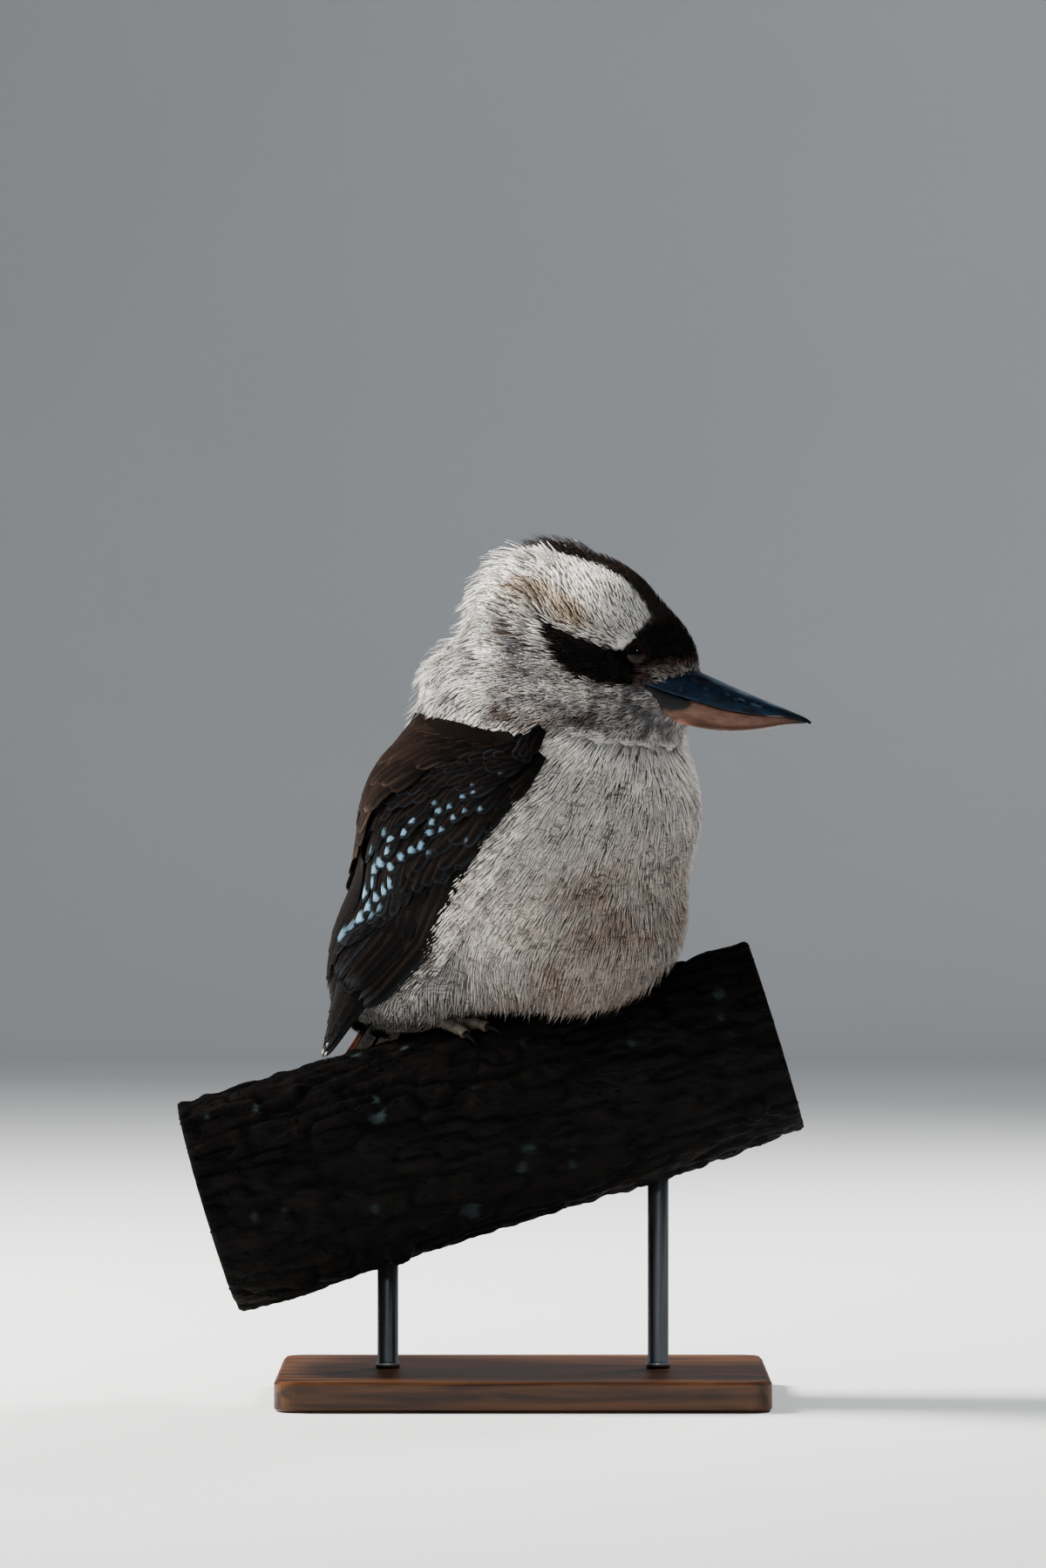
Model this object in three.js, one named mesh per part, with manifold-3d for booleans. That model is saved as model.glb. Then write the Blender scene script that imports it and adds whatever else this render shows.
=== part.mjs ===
// A laughing kookaburra at rest on a cut length of thick branch, life size, on a plain display stand.
// Millimetres, +Z up. The origin is the middle of the stand's underside. The branch runs along X,
// rising to the right, and the bird faces +X, turned towards -Y.
import * as THREE from "three";
import { mergeVertices } from "three/addons/utils/BufferGeometryUtils.js";
import Module from "manifold-3d";

const wasm = await Module();
wasm.setup();
const { Manifold, Mesh: SolidMesh } = wasm;
const { cos, sin, sqrt, abs, min, max, PI } = Math;
const V = (x, y, z) => new THREE.Vector3(x, y, z);
const rad = THREE.MathUtils.degToRad;
const lerp = THREE.MathUtils.lerp;

// Driving dimensions
const GAP = 0.3; // between nodes that touch
const BODY_YAW = 34; // the body's heading, degrees from +X towards -Y
const HEAD_TURN = 9; // the head is turned back by this much
const HEAD_NOD = 10.3; // the bill points this far below level
const FEET = V(-18, 0, 177.3); // between the feet, on the branch's crest

// The head's middle, level with the eyes, in the body's frame (x forward, y left, z up)
const HEAD_AT = V(91.8, 0, 163.3);

const PERCH = {
  left: -144,
  right: 116,
  slope: 16.9,
  middleZ: 131.2,
  leftRadius: 50.3,
  rightRadius: 45,
  swell: 1.3,
};
const BASE = { length: 224, width: 168, height: 14, corner: 10, bevel: 1.5 };
const ROD = { radius: 5, x: [-62, 62] };

const EYE = {
  radius: 8.2,
  side: 13.8,
  lid: 1.0,
  openLength: 12.6,
  openHeight: 11.6,
  tiltForward: 8,
  tiltUp: 4,
};

const BILL = {
  base: 14, // where its root is sunk in the head
  tip: 83,
  mouthGap: 0.32,
  culmen: [[14, -1.5], [27.7, -4.5], [45, -8.2], [60.6, -11.2], [74, -13.8], [80, -15.4], [83, -17.4]],
  mouth: [[14, -14.6], [27, -16], [45, -17.8], [58, -17.6], [72, -16.2], [80, -16.4], [83, -17.8]],
  keel: [[14, -27.5], [32, -28.6], [44, -27.8], [58.5, -24.2], [71, -19.8], [78.5, -17]],
  half: [[14, 13.6], [30, 12.4], [45, 9.8], [60, 6.6], [74, 3.3], [80, 1.5], [83, 0.45]],
  lowerTip: 78.6,
};

// Ellipsoids whose smooth union is the bird's outline in its plumage:
// middle, half lengths, and degrees that the long axis dips forward (minus: rises forward)
const TORSO_FORMS = [
  [V(43, 0, 93), V(66, 58, 60), 0], // breast
  [V(43, 0, 44), V(55, 53, 44), 0], // belly
  [V(-7, 0, 80), V(44, 50, 56), 0], // back
  [V(-38, 0, 41), V(56, 30, 28), -52], // rump
  [V(-14, 0, 12), V(44, 35, 20), -12], // vent
];
const NECK_FORMS = [
  [V(24, 0, 146), V(51, 42, 34), 0], // nape
  [V(50, 0, 128), V(42, 42, 34), 0], // throat
];
const HEAD_FORMS = [
  [V(-2, 0, -6), V(25, 20, 26), 0], // forehead and eyes
  [V(-34, 0, 2), V(40, 31, 37), 0], // crown
  [V(-58, 0, 4), V(33, 29, 35), 0], // back of the crown
  [V(-14, 0, -20), V(34, 25, 18), 0], // cheeks
  [V(9, 0, -18), V(19, 13, 12), 0], // chin
];
const BODY_BLEND = 22;
const HEAD_BLEND = 12;

// Cuts that part head from neck and neck from torso: a point in the body's frame and the normal
const HEAD_CUT = { at: V(104, 0, 128), up: V(0.319, 0, 0.948).normalize() };
const NECK_CUT = { at: V(106, 0, 122), up: V(0.057, 0, 0.998).normalize() };

// The folded wing lies round an axis through the trunk, from the bend of the wing to its tip.
// u is the distance along that axis, and angles run from the side (0) to the back (90).
const WING = {
  middle: V(-4, 0, 60),
  dip: 52, // degrees below level, towards the tail
  bend: -84,
  tip: 106,
  lowEdge: [[-84, -22], [-50, -20], [-20, -19], [24, -21], [56, -14], [85, 0], [106, 14]],
  highEdge: [[-84, 8], [-70, 34], [-52, 62], [-20, 79], [20, 84], [60, 84], [85, 68], [106, 44]],
  sideReach: [[-80, 10], [0, 30], [56, 38], [85, 30], [108, 21]],
  backReach: [[-80, 10], [0, 40], [50, 36], [85, 22], [108, 18]],
  vane: 0.7, // thickness of a vane
};

// Tiers of wing feathers, from the innermost out. Root and tip are distances along the wing for the first
// and the last feather, across runs from the low edge (0) to the back edge (1), and rise is the height over
// the trunk at the root and at the tip.
const WING_TIERS = [
  // primaries
  { count: 4, root: [50, 42], tip: [106, 84], across: [0.1, 0.5], width: 16, rise: [1.3, 1.9] },
  // secondaries
  { count: 4, root: [38, 24], tip: [88, 68], across: [0.24, 0.74], width: 19, rise: [2.0, 3.4] },
  // tertials
  { count: 3, root: [14, 4], tip: [72, 50], across: [0.72, 0.93], width: 23, rise: [3.8, 4.2] },
  // greater coverts
  { count: 5, root: [-40, 34], tip: [-16, 62], across: [0.06, 0.54], width: 18, rise: [3.0, 4.2] },
  // median coverts
  { count: 5, root: [-70, 14], tip: [-48, 38], across: [0.13, 0.48], width: 17, rise: [3.5, 5.2] },
  // lesser coverts
  { count: 4, root: [-80, -16], tip: [-64, 8], across: [0.22, 0.56], width: 18, rise: [3.8, 5.8] },
  // scapulars
  { count: 3, root: [-46, -20], tip: [-4, 40], across: [0.66, 0.92], width: 27, rise: [4.6, 6.4] },
];

const TAIL = {
  at: V(-50, 0, 10), // where it leaves the trunk, in the body's frame
  dip: 53,
  length: 150,
  root: 26, // how far the root reaches up inside the rump
  feathers: 5, // to each side
  rootHalf: 6,
  tipHalf: 11,
  width: 18,
  vane: 0.8,
  step: 1.15, // each feather lies this much under the one nearer the middle
};

const FOOT = {
  side: 17, // from the middle line to each foot
  ahead: -6,
  toeOut: 8, // degrees that each foot is turned outwards
  tarsus: 24,
  tarsusRadius: 3.6,
  toeRadius: 3.0,
  // for each toe: turn outwards in degrees, length along the bark, and how far its root is set over
  toes: [[22, 16, 2.6], [2, 22, 0.6], [-14, 18, -2.4], [184, 12, 0]],
  clawLength: 8,
  clawRadius: 1.5,
  room: { height: 7.4, ahead: 4.5, length: 27.5, over: 0.5, width: 14.5 },
};

// Colours, roughness
const finish = (color, roughness, metalness = 0) => (
  new THREE.MeshStandardMaterial({ color, roughness, metalness })
);
const PLUMAGE_PALE = finish(0xcfcac4, 0.9);
const PLUMAGE_DARK = finish(0x2e2723, 0.85);
const PLUMAGE_TAIL = finish(0x6d4229, 0.85);
const BILL_DARK = finish(0x1d2a35, 0.4);
const BILL_HORN = finish(0xb08a70, 0.45);
const EYE_BROWN = finish(0x1a0f0a, 0.08);
const FOOT_SKIN = finish(0x6f6c64, 0.7);
const CLAW_HORN = finish(0x1f1d1c, 0.4);
const BARK = finish(0x2a2622, 0.95);
const BASE_WOOD = finish(0x3b2a20, 0.5);
const ROD_STEEL = finish(0x8f8f8f, 0.35, 1);

// A value read from [place, value] pairs, eased between them
function along(pairs, place) {
  if (place <= pairs[0][0]) return pairs[0][1];
  for (let i = 1; i < pairs.length; i++) {
    if (place > pairs[i][0]) continue;
    const t = (place - pairs[i - 1][0]) / (pairs[i][0] - pairs[i - 1][0]);
    return lerp(pairs[i - 1][1], pairs[i][1], t);
  }
  return pairs[pairs.length - 1][1];
}

// Solids
function solidOf(geometry, matrix = null) {
  const plain = geometry.clone();
  plain.deleteAttribute("normal");
  plain.deleteAttribute("uv");
  if (matrix) plain.applyMatrix4(matrix);
  const merged = mergeVertices(plain, 1e-4);
  return new Manifold(
    new SolidMesh({
      numProp: 3,
      vertProperties: new Float32Array(merged.attributes.position.array),
      triVerts: new Uint32Array(merged.index.array),
    }),
  );
}

function largest(solid) {
  return solid.decompose().reduce((a, b) => (a.volume() > b.volume() ? a : b));
}

function geometryOf(solid) {
  const mesh = solid.getMesh();
  const points = new Float32Array(mesh.numVert * 3);
  for (let i = 0; i < mesh.numVert; i++) {
    points.set(mesh.vertProperties.subarray(i * mesh.numProp, i * mesh.numProp + 3), i * 3);
  }
  return new THREE.BufferGeometry()
    .setAttribute("position", new THREE.BufferAttribute(points, 3))
    .setIndex(new THREE.BufferAttribute(new Uint32Array(mesh.triVerts), 1));
}

// A closed solid through rings that have the same number of points. Its ends are closed by fans, or by a
// strip of quads where the rings are thin and curved.
function loft(rings, thin = false) {
  const sides = rings[0].length;
  const points = rings.flat();
  const faces = [];
  for (let i = 0; i + 1 < rings.length; i++) {
    for (let j = 0; j < sides; j++) {
      const a = i * sides + j;
      const b = i * sides + ((j + 1) % sides);
      faces.push(a, b, b + sides, a, b + sides, a + sides);
    }
  }
  const ends = [[rings[0], 0, true], [rings.at(-1), (rings.length - 1) * sides, false]];
  for (const [ring, first, flip] of ends) {
    if (thin) {
      for (let j = 0; j + 1 < sides / 2; j++) {
        const [a, b, c, d] = [j, j + 1, sides - 2 - j, sides - 1 - j].map((k) => first + k);
        faces.push(...(flip ? [b, a, c, c, a, d] : [a, b, c, a, c, d]));
      }
      continue;
    }
    const centre = ring.reduce((sum, p) => sum.add(p), V(0, 0, 0)).divideScalar(sides);
    points.push(centre);
    for (let j = 0; j < sides; j++) {
      const a = first + j;
      const b = first + ((j + 1) % sides);
      faces.push(points.length - 1, ...(flip ? [b, a] : [a, b]));
    }
  }
  return facing(points, faces);
}

// Turns the faces round if they enclose a negative volume
function facing(points, faces) {
  let volume = 0;
  for (let i = 0; i < faces.length; i += 3) {
    const [a, b, c] = [points[faces[i]], points[faces[i + 1]], points[faces[i + 2]]];
    volume += a.dot(b.clone().cross(c));
  }
  if (volume < 0) {
    for (let i = 0; i < faces.length; i += 3) [faces[i + 1], faces[i + 2]] = [faces[i + 2], faces[i + 1]];
  }
  const geometry = new THREE.BufferGeometry().setFromPoints(points);
  geometry.setIndex(faces);
  return geometry;
}

// Frames: the body's in the part's, and the head's in the body's
const bodyMatrix = new THREE.Matrix4()
  .makeRotationZ(rad(-BODY_YAW))
  .setPosition(FEET);
const headMatrix = new THREE.Matrix4()
  .makeRotationZ(rad(HEAD_TURN))
  .multiply(new THREE.Matrix4().makeRotationY(rad(HEAD_NOD)))
  .setPosition(HEAD_AT);
const headBack = headMatrix.clone().invert();

// The bird's outline as a field: negative inside, close to the distance near the surface
function ellipsoid(p, [middle, half, dip]) {
  const q = p.clone().sub(middle);
  const c = cos(rad(dip));
  const s = sin(rad(dip));
  const x = c * q.x - s * q.z;
  const z = s * q.x + c * q.z;
  const a = sqrt((x / half.x) ** 2 + (q.y / half.y) ** 2 + (z / half.z) ** 2);
  const b = sqrt((x / half.x ** 2) ** 2 + (q.y / half.y ** 2) ** 2 + (z / half.z ** 2) ** 2);
  return (a * (a - 1)) / max(b, 1e-9);
}

function blend(a, b, width) {
  const h = max(width - abs(a - b), 0) / width;
  return min(a, b) - (h * h * width) / 4;
}

function outline(p) {
  const trunk = [...TORSO_FORMS, ...NECK_FORMS].map((form) => ellipsoid(p, form));
  const inHead = p.clone().applyMatrix4(headBack);
  const head = HEAD_FORMS.map((form) => ellipsoid(inHead, form));
  return blend(
    trunk.reduce((a, b) => blend(a, b, BODY_BLEND)),
    head.reduce((a, b) => blend(a, b, HEAD_BLEND)),
    HEAD_BLEND,
  );
}

// How far from a point inside, along a direction, the outline grown by a margin lies
function reach(from, direction, margin, far = 260) {
  const at = (t) => outline(from.clone().addScaledVector(direction, t)) - margin;
  const step = 3;
  let near = 0;
  if (at(0) > 0) return 0;
  while (near + step < far && at(near + step) < 0) near += step;
  let beyond = near + step;
  for (let i = 0; i < 16; i++) {
    const middle = (near + beyond) / 2;
    if (at(middle) < 0) near = middle;
    else beyond = middle;
  }
  return (near + beyond) / 2;
}

// The outline seen from a point inside it, as a closed solid
function outlineFrom(centre, detail, margin = 0) {
  const ball = new THREE.IcosahedronGeometry(1, detail);
  ball.deleteAttribute("normal");
  ball.deleteAttribute("uv");
  const merged = mergeVertices(ball, 1e-5);
  const place = merged.attributes.position;
  for (let i = 0; i < place.count; i++) {
    const direction = V(0, 0, 0).fromBufferAttribute(place, i).normalize();
    const point = centre.clone().addScaledVector(direction, reach(centre, direction, margin));
    place.setXYZ(i, point.x, point.y, point.z);
  }
  return solidOf(merged);
}

// A large block on the upper or lower side of a cut, set off from it by half the gap
function sideOf(cut, upper) {
  const size = 600;
  const block = new THREE.BoxGeometry(size, size, size);
  const turn = new THREE.Quaternion().setFromUnitVectors(V(0, 0, 1), cut.up);
  const shift = (size / 2 + GAP / 2) * (upper ? 1 : -1);
  const middle = cut.at.clone().addScaledVector(cut.up, shift);
  return solidOf(block, new THREE.Matrix4().compose(middle, turn, V(1, 1, 1)));
}

// The branch: s runs along its axis from the middle, turn from the crest (0) towards -Y (90)
const perchAxis = V(cos(rad(PERCH.slope)), 0, sin(rad(PERCH.slope)));
const perchUp = V(-sin(rad(PERCH.slope)), 0, cos(rad(PERCH.slope)));
const perchSpan = [PERCH.left / cos(rad(PERCH.slope)), PERCH.right / cos(rad(PERCH.slope))];

function barkRadius(s, turn) {
  const t = (s - perchSpan[0]) / (perchSpan[1] - perchSpan[0]);
  const round = lerp(PERCH.leftRadius, PERCH.rightRadius, t) + PERCH.swell * 4 * t * (1 - t);
  const coarse = 0.7 * sin(2 * turn + s / 37);
  const middling = 0.55 * sin(3 * turn - s / 23 + 1);
  const lumps = coarse + middling + 0.35 * sin(5 * turn + s / 16);
  const calm = 1 - 0.8 * Math.exp(-((turn / 1.1) ** 2));
  return round + lumps * calm;
}

function barkPoint(s, turn, height) {
  const radius = barkRadius(s, turn) + height;
  return V(0, 0, PERCH.middleZ)
    .addScaledVector(perchAxis, s)
    .addScaledVector(perchUp, radius * cos(turn))
    .add(V(0, -radius * sin(turn), 0));
}

function perchSolid(margin, sides, steps) {
  const rings = [];
  for (let i = 0; i <= steps; i++) {
    const s = lerp(perchSpan[0] - margin, perchSpan[1] + margin, i / steps);
    rings.push(Array.from({ length: sides }, (_, j) => barkPoint(s, wrap((j / sides) * 2 * PI), margin)));
  }
  return solidOf(loft(rings));
}

function wrap(turn) {
  return turn > PI ? turn - 2 * PI : turn;
}

// A broken twig: a short tapered stub rising from the bark
function twigStub(s, turn, length, radius, lean) {
  const rings = [];
  for (let i = 0; i <= 3; i++) {
    const t = i / 3;
    const centre = barkPoint(s + lean * t, turn, -5 + (length + 5) * t);
    const out = barkPoint(s, turn, 1).sub(barkPoint(s, turn, 0)).normalize();
    const across = out.clone().cross(perchAxis).normalize();
    const size = radius * lerp(1.4, 0.8, t);
    rings.push(Array.from({ length: 8 }, (_, j) => centre.clone()
      .addScaledVector(perchAxis, size * cos((j / 8) * 2 * PI))
      .addScaledVector(across, size * sin((j / 8) * 2 * PI))));
  }
  return solidOf(loft(rings));
}

// The folded wing's sheet: a point at a distance along, an angle and a height over the trunk.
// side is 1 for the right wing and -1 for the left.
const wingAlong = V(-cos(rad(WING.dip)), 0, -sin(rad(WING.dip)));
const wingBack = V(-sin(rad(WING.dip)), 0, cos(rad(WING.dip)));
const reachKept = new Map();

function wingReach(u, angle) {
  const key = u.toFixed(1) + "," + angle.toFixed(1);
  if (!reachKept.has(key)) {
    const from = WING.middle.clone().addScaledVector(wingAlong, u);
    const a = rad(angle);
    const direction = V(0, -cos(a), 0).addScaledVector(wingBack, sin(a));
    const trunk = reach(from, direction, 0, 120);
    const [toSide, toBack] = [along(WING.sideReach, u), along(WING.backReach, u)];
    const free = 1 / sqrt((cos(a) / toSide) ** 2 + (sin(a) / toBack) ** 2);
    reachKept.set(key, -blend(-trunk, -free, 10));
  }
  return reachKept.get(key);
}

function wingPoint(u, angle, height, side) {
  const a = rad(angle);
  const radius = wingReach(u, angle) + height;
  const point = WING.middle.clone()
    .addScaledVector(wingAlong, u)
    .addScaledVector(wingBack, radius * sin(a));
  point.y = -side * radius * cos(a);
  return point;
}

// The arm under the coverts, from the bend of the wing to where the flight feathers come free
function wingCore(side) {
  const steps = 9;
  const across = 7;
  const end = 60;
  const rings = [];
  for (let i = 0; i <= steps; i++) {
    const t = i / steps;
    const u = lerp(WING.bend, end, t);
    const narrow = sin(min(1, t * 4 + 0.35) * PI / 2);
    const low = along(WING.lowEdge, u);
    const high = along(WING.highEdge, u);
    const middle = (low + high) / 2;
    const half = ((high - low) / 2) * narrow;
    const thick = lerp(5.4, 1.0, t) * sin(min(1, t * 3 + 0.45) * PI / 2);
    const top = [];
    const under = [];
    for (let j = 0; j <= across; j++) {
      const w = j / across;
      const angle = middle + half * (2 * w - 1);
      const crown = sqrt(max(0, 1 - (2 * w - 1) ** 4));
      const padded = 1 + 0.6 * (max(0, angle - 20) / 40) * sin(t ** 1.8 * PI);
      top.push(wingPoint(u, angle, 2.0 + thick * crown * padded, side));
      under.unshift(wingPoint(u, angle, 1.4, side));
    }
    rings.push([...top, ...under]);
  }
  return solidOf(loft(rings, true));
}

// A feather on the wing's sheet. Its low edge stands over its back edge, as each feather lies over
// the next one towards the low edge.
function wingFeather({ root, tip, rootAngle, tipAngle, width, rise, thick, lift }, side) {
  const stations = [0, 0.45, 0.82, 1];
  const widths = [0.7, 1, 0.86, 0.3];
  const rings = stations.map((t, i) => {
    const u = lerp(root, tip, t);
    const angle = lerp(rootAngle, tipAngle, t);
    const half = ((width * widths[i]) / 2 / (wingReach(u, angle) + 3)) * (180 / PI);
    const height = lerp(rise[0], rise[1], sqrt(t));
    const body = thick * lerp(1, 0.75, t);
    return [
      wingPoint(u, angle - half, height + lift, side),
      wingPoint(u, angle + half, height, side),
      wingPoint(u, angle + half, height + body, side),
      wingPoint(u, angle - half, height + lift + body, side),
    ];
  });
  return solidOf(loft(rings, true));
}

function wingSolid(side, body, perch) {
  const random = seeded(11);
  const pieces = [wingCore(side)];
  for (const tier of WING_TIERS) {
    for (let i = 0; i < tier.count; i++) {
      const t = i / (tier.count - 1);
      const root = lerp(tier.root[0], tier.root[1], t) + 2 * (random() - 0.5);
      const tip = lerp(tier.tip[0], tier.tip[1], t) + 2 * (random() - 0.5);
      const across = lerp(tier.across[0], tier.across[1], t);
      const angleAt = (u) => lerp(along(WING.lowEdge, u), along(WING.highEdge, u), across);
      pieces.push(wingFeather({
        root, tip, rootAngle: angleAt(root), tipAngle: angleAt(tip),
        width: tier.width * (0.96 + 0.08 * random()), rise: tier.rise, thick: WING.vane, lift: 1.5,
      }, side));
    }
  }
  return largest(Manifold.union(pieces).subtract(body).subtract(perch));
}

function seeded(seed) {
  let state = seed;
  return () => {
    state = (state * 1664525 + 1013904223) % 4294967296;
    return state / 4294967296;
  };
}

// The tail: feathers side by side, the middle pair on top, closed at the root
function tailSolid(body, perch) {
  const out = V(-cos(rad(TAIL.dip)), 0, -sin(rad(TAIL.dip)));
  const top = V(-sin(rad(TAIL.dip)), 0, cos(rad(TAIL.dip)));
  const random = seeded(5);
  const pieces = [];
  const at = (u, y, z) => TAIL.at.clone().addScaledVector(out, u).addScaledVector(top, z).add(V(0, y, 0));
  for (const side of [-1, 1]) {
    for (let i = 0; i < TAIL.feathers; i++) {
      const t = (i + 0.5) / TAIL.feathers;
      const length = TAIL.length - 5 * t * t - 2 * random();
      const stations = [0, 0.5, 0.94, 1];
      const widths = [0.5, 0.95, 1, 0.5];
      const rings = stations.map((f, k) => {
        const u = lerp(-TAIL.root, length, f);
        const y = side * lerp(TAIL.rootHalf, TAIL.tipHalf, sqrt(f)) * t;
        const half = (TAIL.width * widths[k]) / 2;
        const droop = -TAIL.step * i - 0.012 * y * y - 4 * f * f;
        const inner = droop + 0.5;
        return [
          at(u, y - side * half, inner),
          at(u, y + side * half, droop - 0.7),
          at(u, y + side * half, droop - 0.7 + TAIL.vane),
          at(u, y - side * half, inner + TAIL.vane),
        ];
      });
      pieces.push(solidOf(loft(rings, true)));
    }
  }
  const coverts = [];
  for (let i = 0; i <= 5; i++) {
    const t = i / 5;
    const u = lerp(-TAIL.root, 34, t);
    const width = lerp(15, 11, t) * (i === 5 ? 0.5 : 1);
    const high = lerp(7, 1.2, t);
    const low = lerp(12, 6.2, t);
    coverts.push(Array.from({ length: 12 }, (_, j) => {
      const a = (j / 12) * 2 * PI;
      return at(u, width * cos(a), (sin(a) > 0 ? high : low) * sin(a) - 2.5);
    }));
  }
  pieces.push(solidOf(loft(coverts)));
  return largest(Manifold.union(pieces).subtract(body).subtract(perch));
}

// A round bar through centres, with a radius at each
function bar(centres, radii, sides) {
  const rings = centres.map((centre, i) => {
    const before = centres[max(0, i - 1)];
    const after = centres[min(centres.length - 1, i + 1)];
    const forward = after.clone().sub(before).normalize();
    const across = forward.clone().cross(V(0.1, 0.2, 1)).normalize();
    const third = across.clone().cross(forward);
    return Array.from({ length: sides }, (_, j) => centre.clone()
      .addScaledVector(across, radii[i] * cos((j / sides) * 2 * PI))
      .addScaledVector(third, radii[i] * sin((j / sides) * 2 * PI)));
  });
  return solidOf(loft(rings));
}

// Where a foot stands on the bark, and the heading of its toes along the bark
function footPlace(side) {
  const ground = V(FOOT.ahead, -side * FOOT.side, 0).applyMatrix4(bodyMatrix);
  const turn = Math.asin(-ground.y / barkRadius(0, 0));
  const s = (ground.x - barkRadius(0, 0) * cos(turn) * perchUp.x) / perchAxis.x;
  return { s, turn, heading: rad(BODY_YAW + side * FOOT.toeOut) };
}

// The line of a toe over the bark: out from the foot's middle, then gripping down
function toeLine(place, [turnOut, length, setOver], side, height, from, to, steps) {
  const heading = place.heading + side * rad(turnOut);
  const line = [];
  for (let i = 0; i <= steps; i++) {
    const d = length * lerp(from, to, i / steps);
    const ds = d * cos(heading) - side * setOver * sin(place.heading);
    const arc = d * sin(heading) + side * setOver * cos(place.heading);
    const knuckle = 0.5 * sin(lerp(from, to, i / steps) * 3 * PI);
    line.push(barkPoint(place.s + ds, place.turn + arc / PERCH.rightRadius, height(i / steps) + knuckle));
  }
  return line;
}

// The tarsus: a bar from the foot up into the plumage
function tarsusBar(side, place, margin, sides) {
  const foot = barkPoint(place.s, place.turn, FOOT.toeRadius);
  const lean = V(-7, -side * 0.5, FOOT.tarsus).normalize().applyAxisAngle(V(0, 0, 1), rad(-BODY_YAW));
  const line = [-0.5, 3, 12, FOOT.tarsus + margin].map((d) => foot.clone().addScaledVector(lean, d));
  return bar(line, [4.4, 4, 3.2, FOOT.tarsusRadius].map((r) => r + margin), sides);
}

function legSolids(side, perch) {
  const place = footPlace(side);
  const limbs = [tarsusBar(side, place, 0, 10)];
  const claws = [];
  for (const toe of FOOT.toes) {
    const line = toeLine(place, toe, side, () => FOOT.toeRadius * 0.82, 0, 1, 6);
    const radii = line.map((_, i) => FOOT.toeRadius * (lerp(1.12, 0.8, i / 6) + 0.1 * cos(i * PI)));
    limbs.push(bar(line, radii, 6));
    const start = 1 + 0.6 / toe[1];
    const clawHeight = (t) => FOOT.toeRadius * (0.9 + 0.55 * sin(t * PI) - 0.75 * t);
    const clawLine = toeLine(place, toe, side, clawHeight, start, start + FOOT.clawLength / toe[1], 4);
    claws.push(bar(clawLine, [1, 0.9, 0.7, 0.45, 0.2].map((k) => k * FOOT.clawRadius), 6));
  }
  return {
    leg: largest(Manifold.union(limbs).subtract(perch)),
    claws: claws.map((claw) => largest(claw.subtract(perch))),
  };
}

// The room that a foot needs in the plumage: a low rounded slab over the bark, and the tarsus in it
function legRoom(side) {
  const place = footPlace(side);
  const points = 14;
  const levels = [[-1.5, 1], [FOOT.room.height, 1], [FOOT.room.height + 0.4, 0.5]];
  const rings = levels.map(([height, size]) => Array.from({ length: points }, (_, i) => {
    const a = (i / points) * 2 * PI;
    const ahead = FOOT.room.ahead + size * FOOT.room.length * Math.sign(cos(a)) * abs(cos(a)) ** 0.75;
    const over = side * FOOT.room.over + size * FOOT.room.width * Math.sign(sin(a)) * abs(sin(a)) ** 0.75;
    const ds = ahead * cos(place.heading) - over * sin(place.heading);
    const arc = ahead * sin(place.heading) + over * cos(place.heading);
    return barkPoint(place.s + ds, place.turn + arc / PERCH.rightRadius, height);
  }));
  return solidOf(loft(rings)).add(tarsusBar(side, place, 1.5 * GAP, 8));
}

// One half of the bill: rings between the mouth line and the culmen or the keel
function billSolid(upper) {
  const end = upper ? BILL.tip : BILL.lowerTip;
  const steps = 11;
  const sides = 11;
  const rings = [];
  for (let i = 0; i <= steps; i++) {
    const x = lerp(BILL.base, end, 1 - (1 - i / steps) ** 1.25);
    const mouth = along(BILL.mouth, x) + (upper ? 1 : -1) * (BILL.mouthGap / 2);
    const far = upper ? along(BILL.culmen, x) : along(BILL.keel, x);
    const tall = upper ? max(far - mouth, 0.5) : min(far - mouth, -0.5);
    const close = upper ? 1 : sqrt(max(0.02, min(1, (BILL.lowerTip + 0.6 - x) / 9)));
    const half = along(BILL.half, x) * (upper ? 1 : 0.93 * close);
    const ring = [];
    for (let j = 0; j < sides; j++) {
      const a = (j / (sides - 1)) * PI;
      const width = abs(cos(a)) ** (upper ? 0.85 : 0.75) * Math.sign(cos(a));
      ring.push(V(x, half * width, mouth + tall * sin(a) ** (upper ? 1.1 : 0.9)));
    }
    rings.push(ring);
  }
  return solidOf(loft(rings));
}

// A slit nostril near the bill's root
function nostril(side) {
  const slit = new THREE.SphereGeometry(1, 10, 6);
  const turn = new THREE.Quaternion().setFromEuler(new THREE.Euler(side * 0.5, 0.12, side * 0.14));
  return solidOf(slit, new THREE.Matrix4().compose(V(30.5, -side * 10, -6.2), turn, V(4.2, 2.2, 0.9)));
}

// The eye's frame in the head: its axis points outwards, a little forward and up
function eyeMatrix(side) {
  const turn = new THREE.Quaternion().setFromUnitVectors(
    V(0, 0, 1),
    V(sin(rad(EYE.tiltForward)), -side * cos(rad(EYE.tiltForward)), sin(rad(EYE.tiltUp))).normalize(),
  );
  return new THREE.Matrix4().compose(V(0, -side * EYE.side, 0), turn, V(1, 1, 1)).premultiply(headMatrix);
}

const ball = (radius, detail) => new THREE.IcosahedronGeometry(radius, detail);

function lidOpening(side) {
  const long = new THREE.CylinderGeometry(0.5, 0.5, 30, 18).rotateX(PI / 2).translate(0, 0, 15);
  const shape = new THREE.Matrix4().makeScale(EYE.openHeight, EYE.openLength, 1);
  return solidOf(long.applyMatrix4(shape), eyeMatrix(side));
}

// Assemble the solids in the body's frame, then place them
const perchRoom = perchSolid(GAP, 28, 10);
const toBody = bodyMatrix.clone().invert();
const inBody = (solid) => solidOf(geometryOf(solid), toBody);
const perchInBody = inBody(perchRoom);

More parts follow.
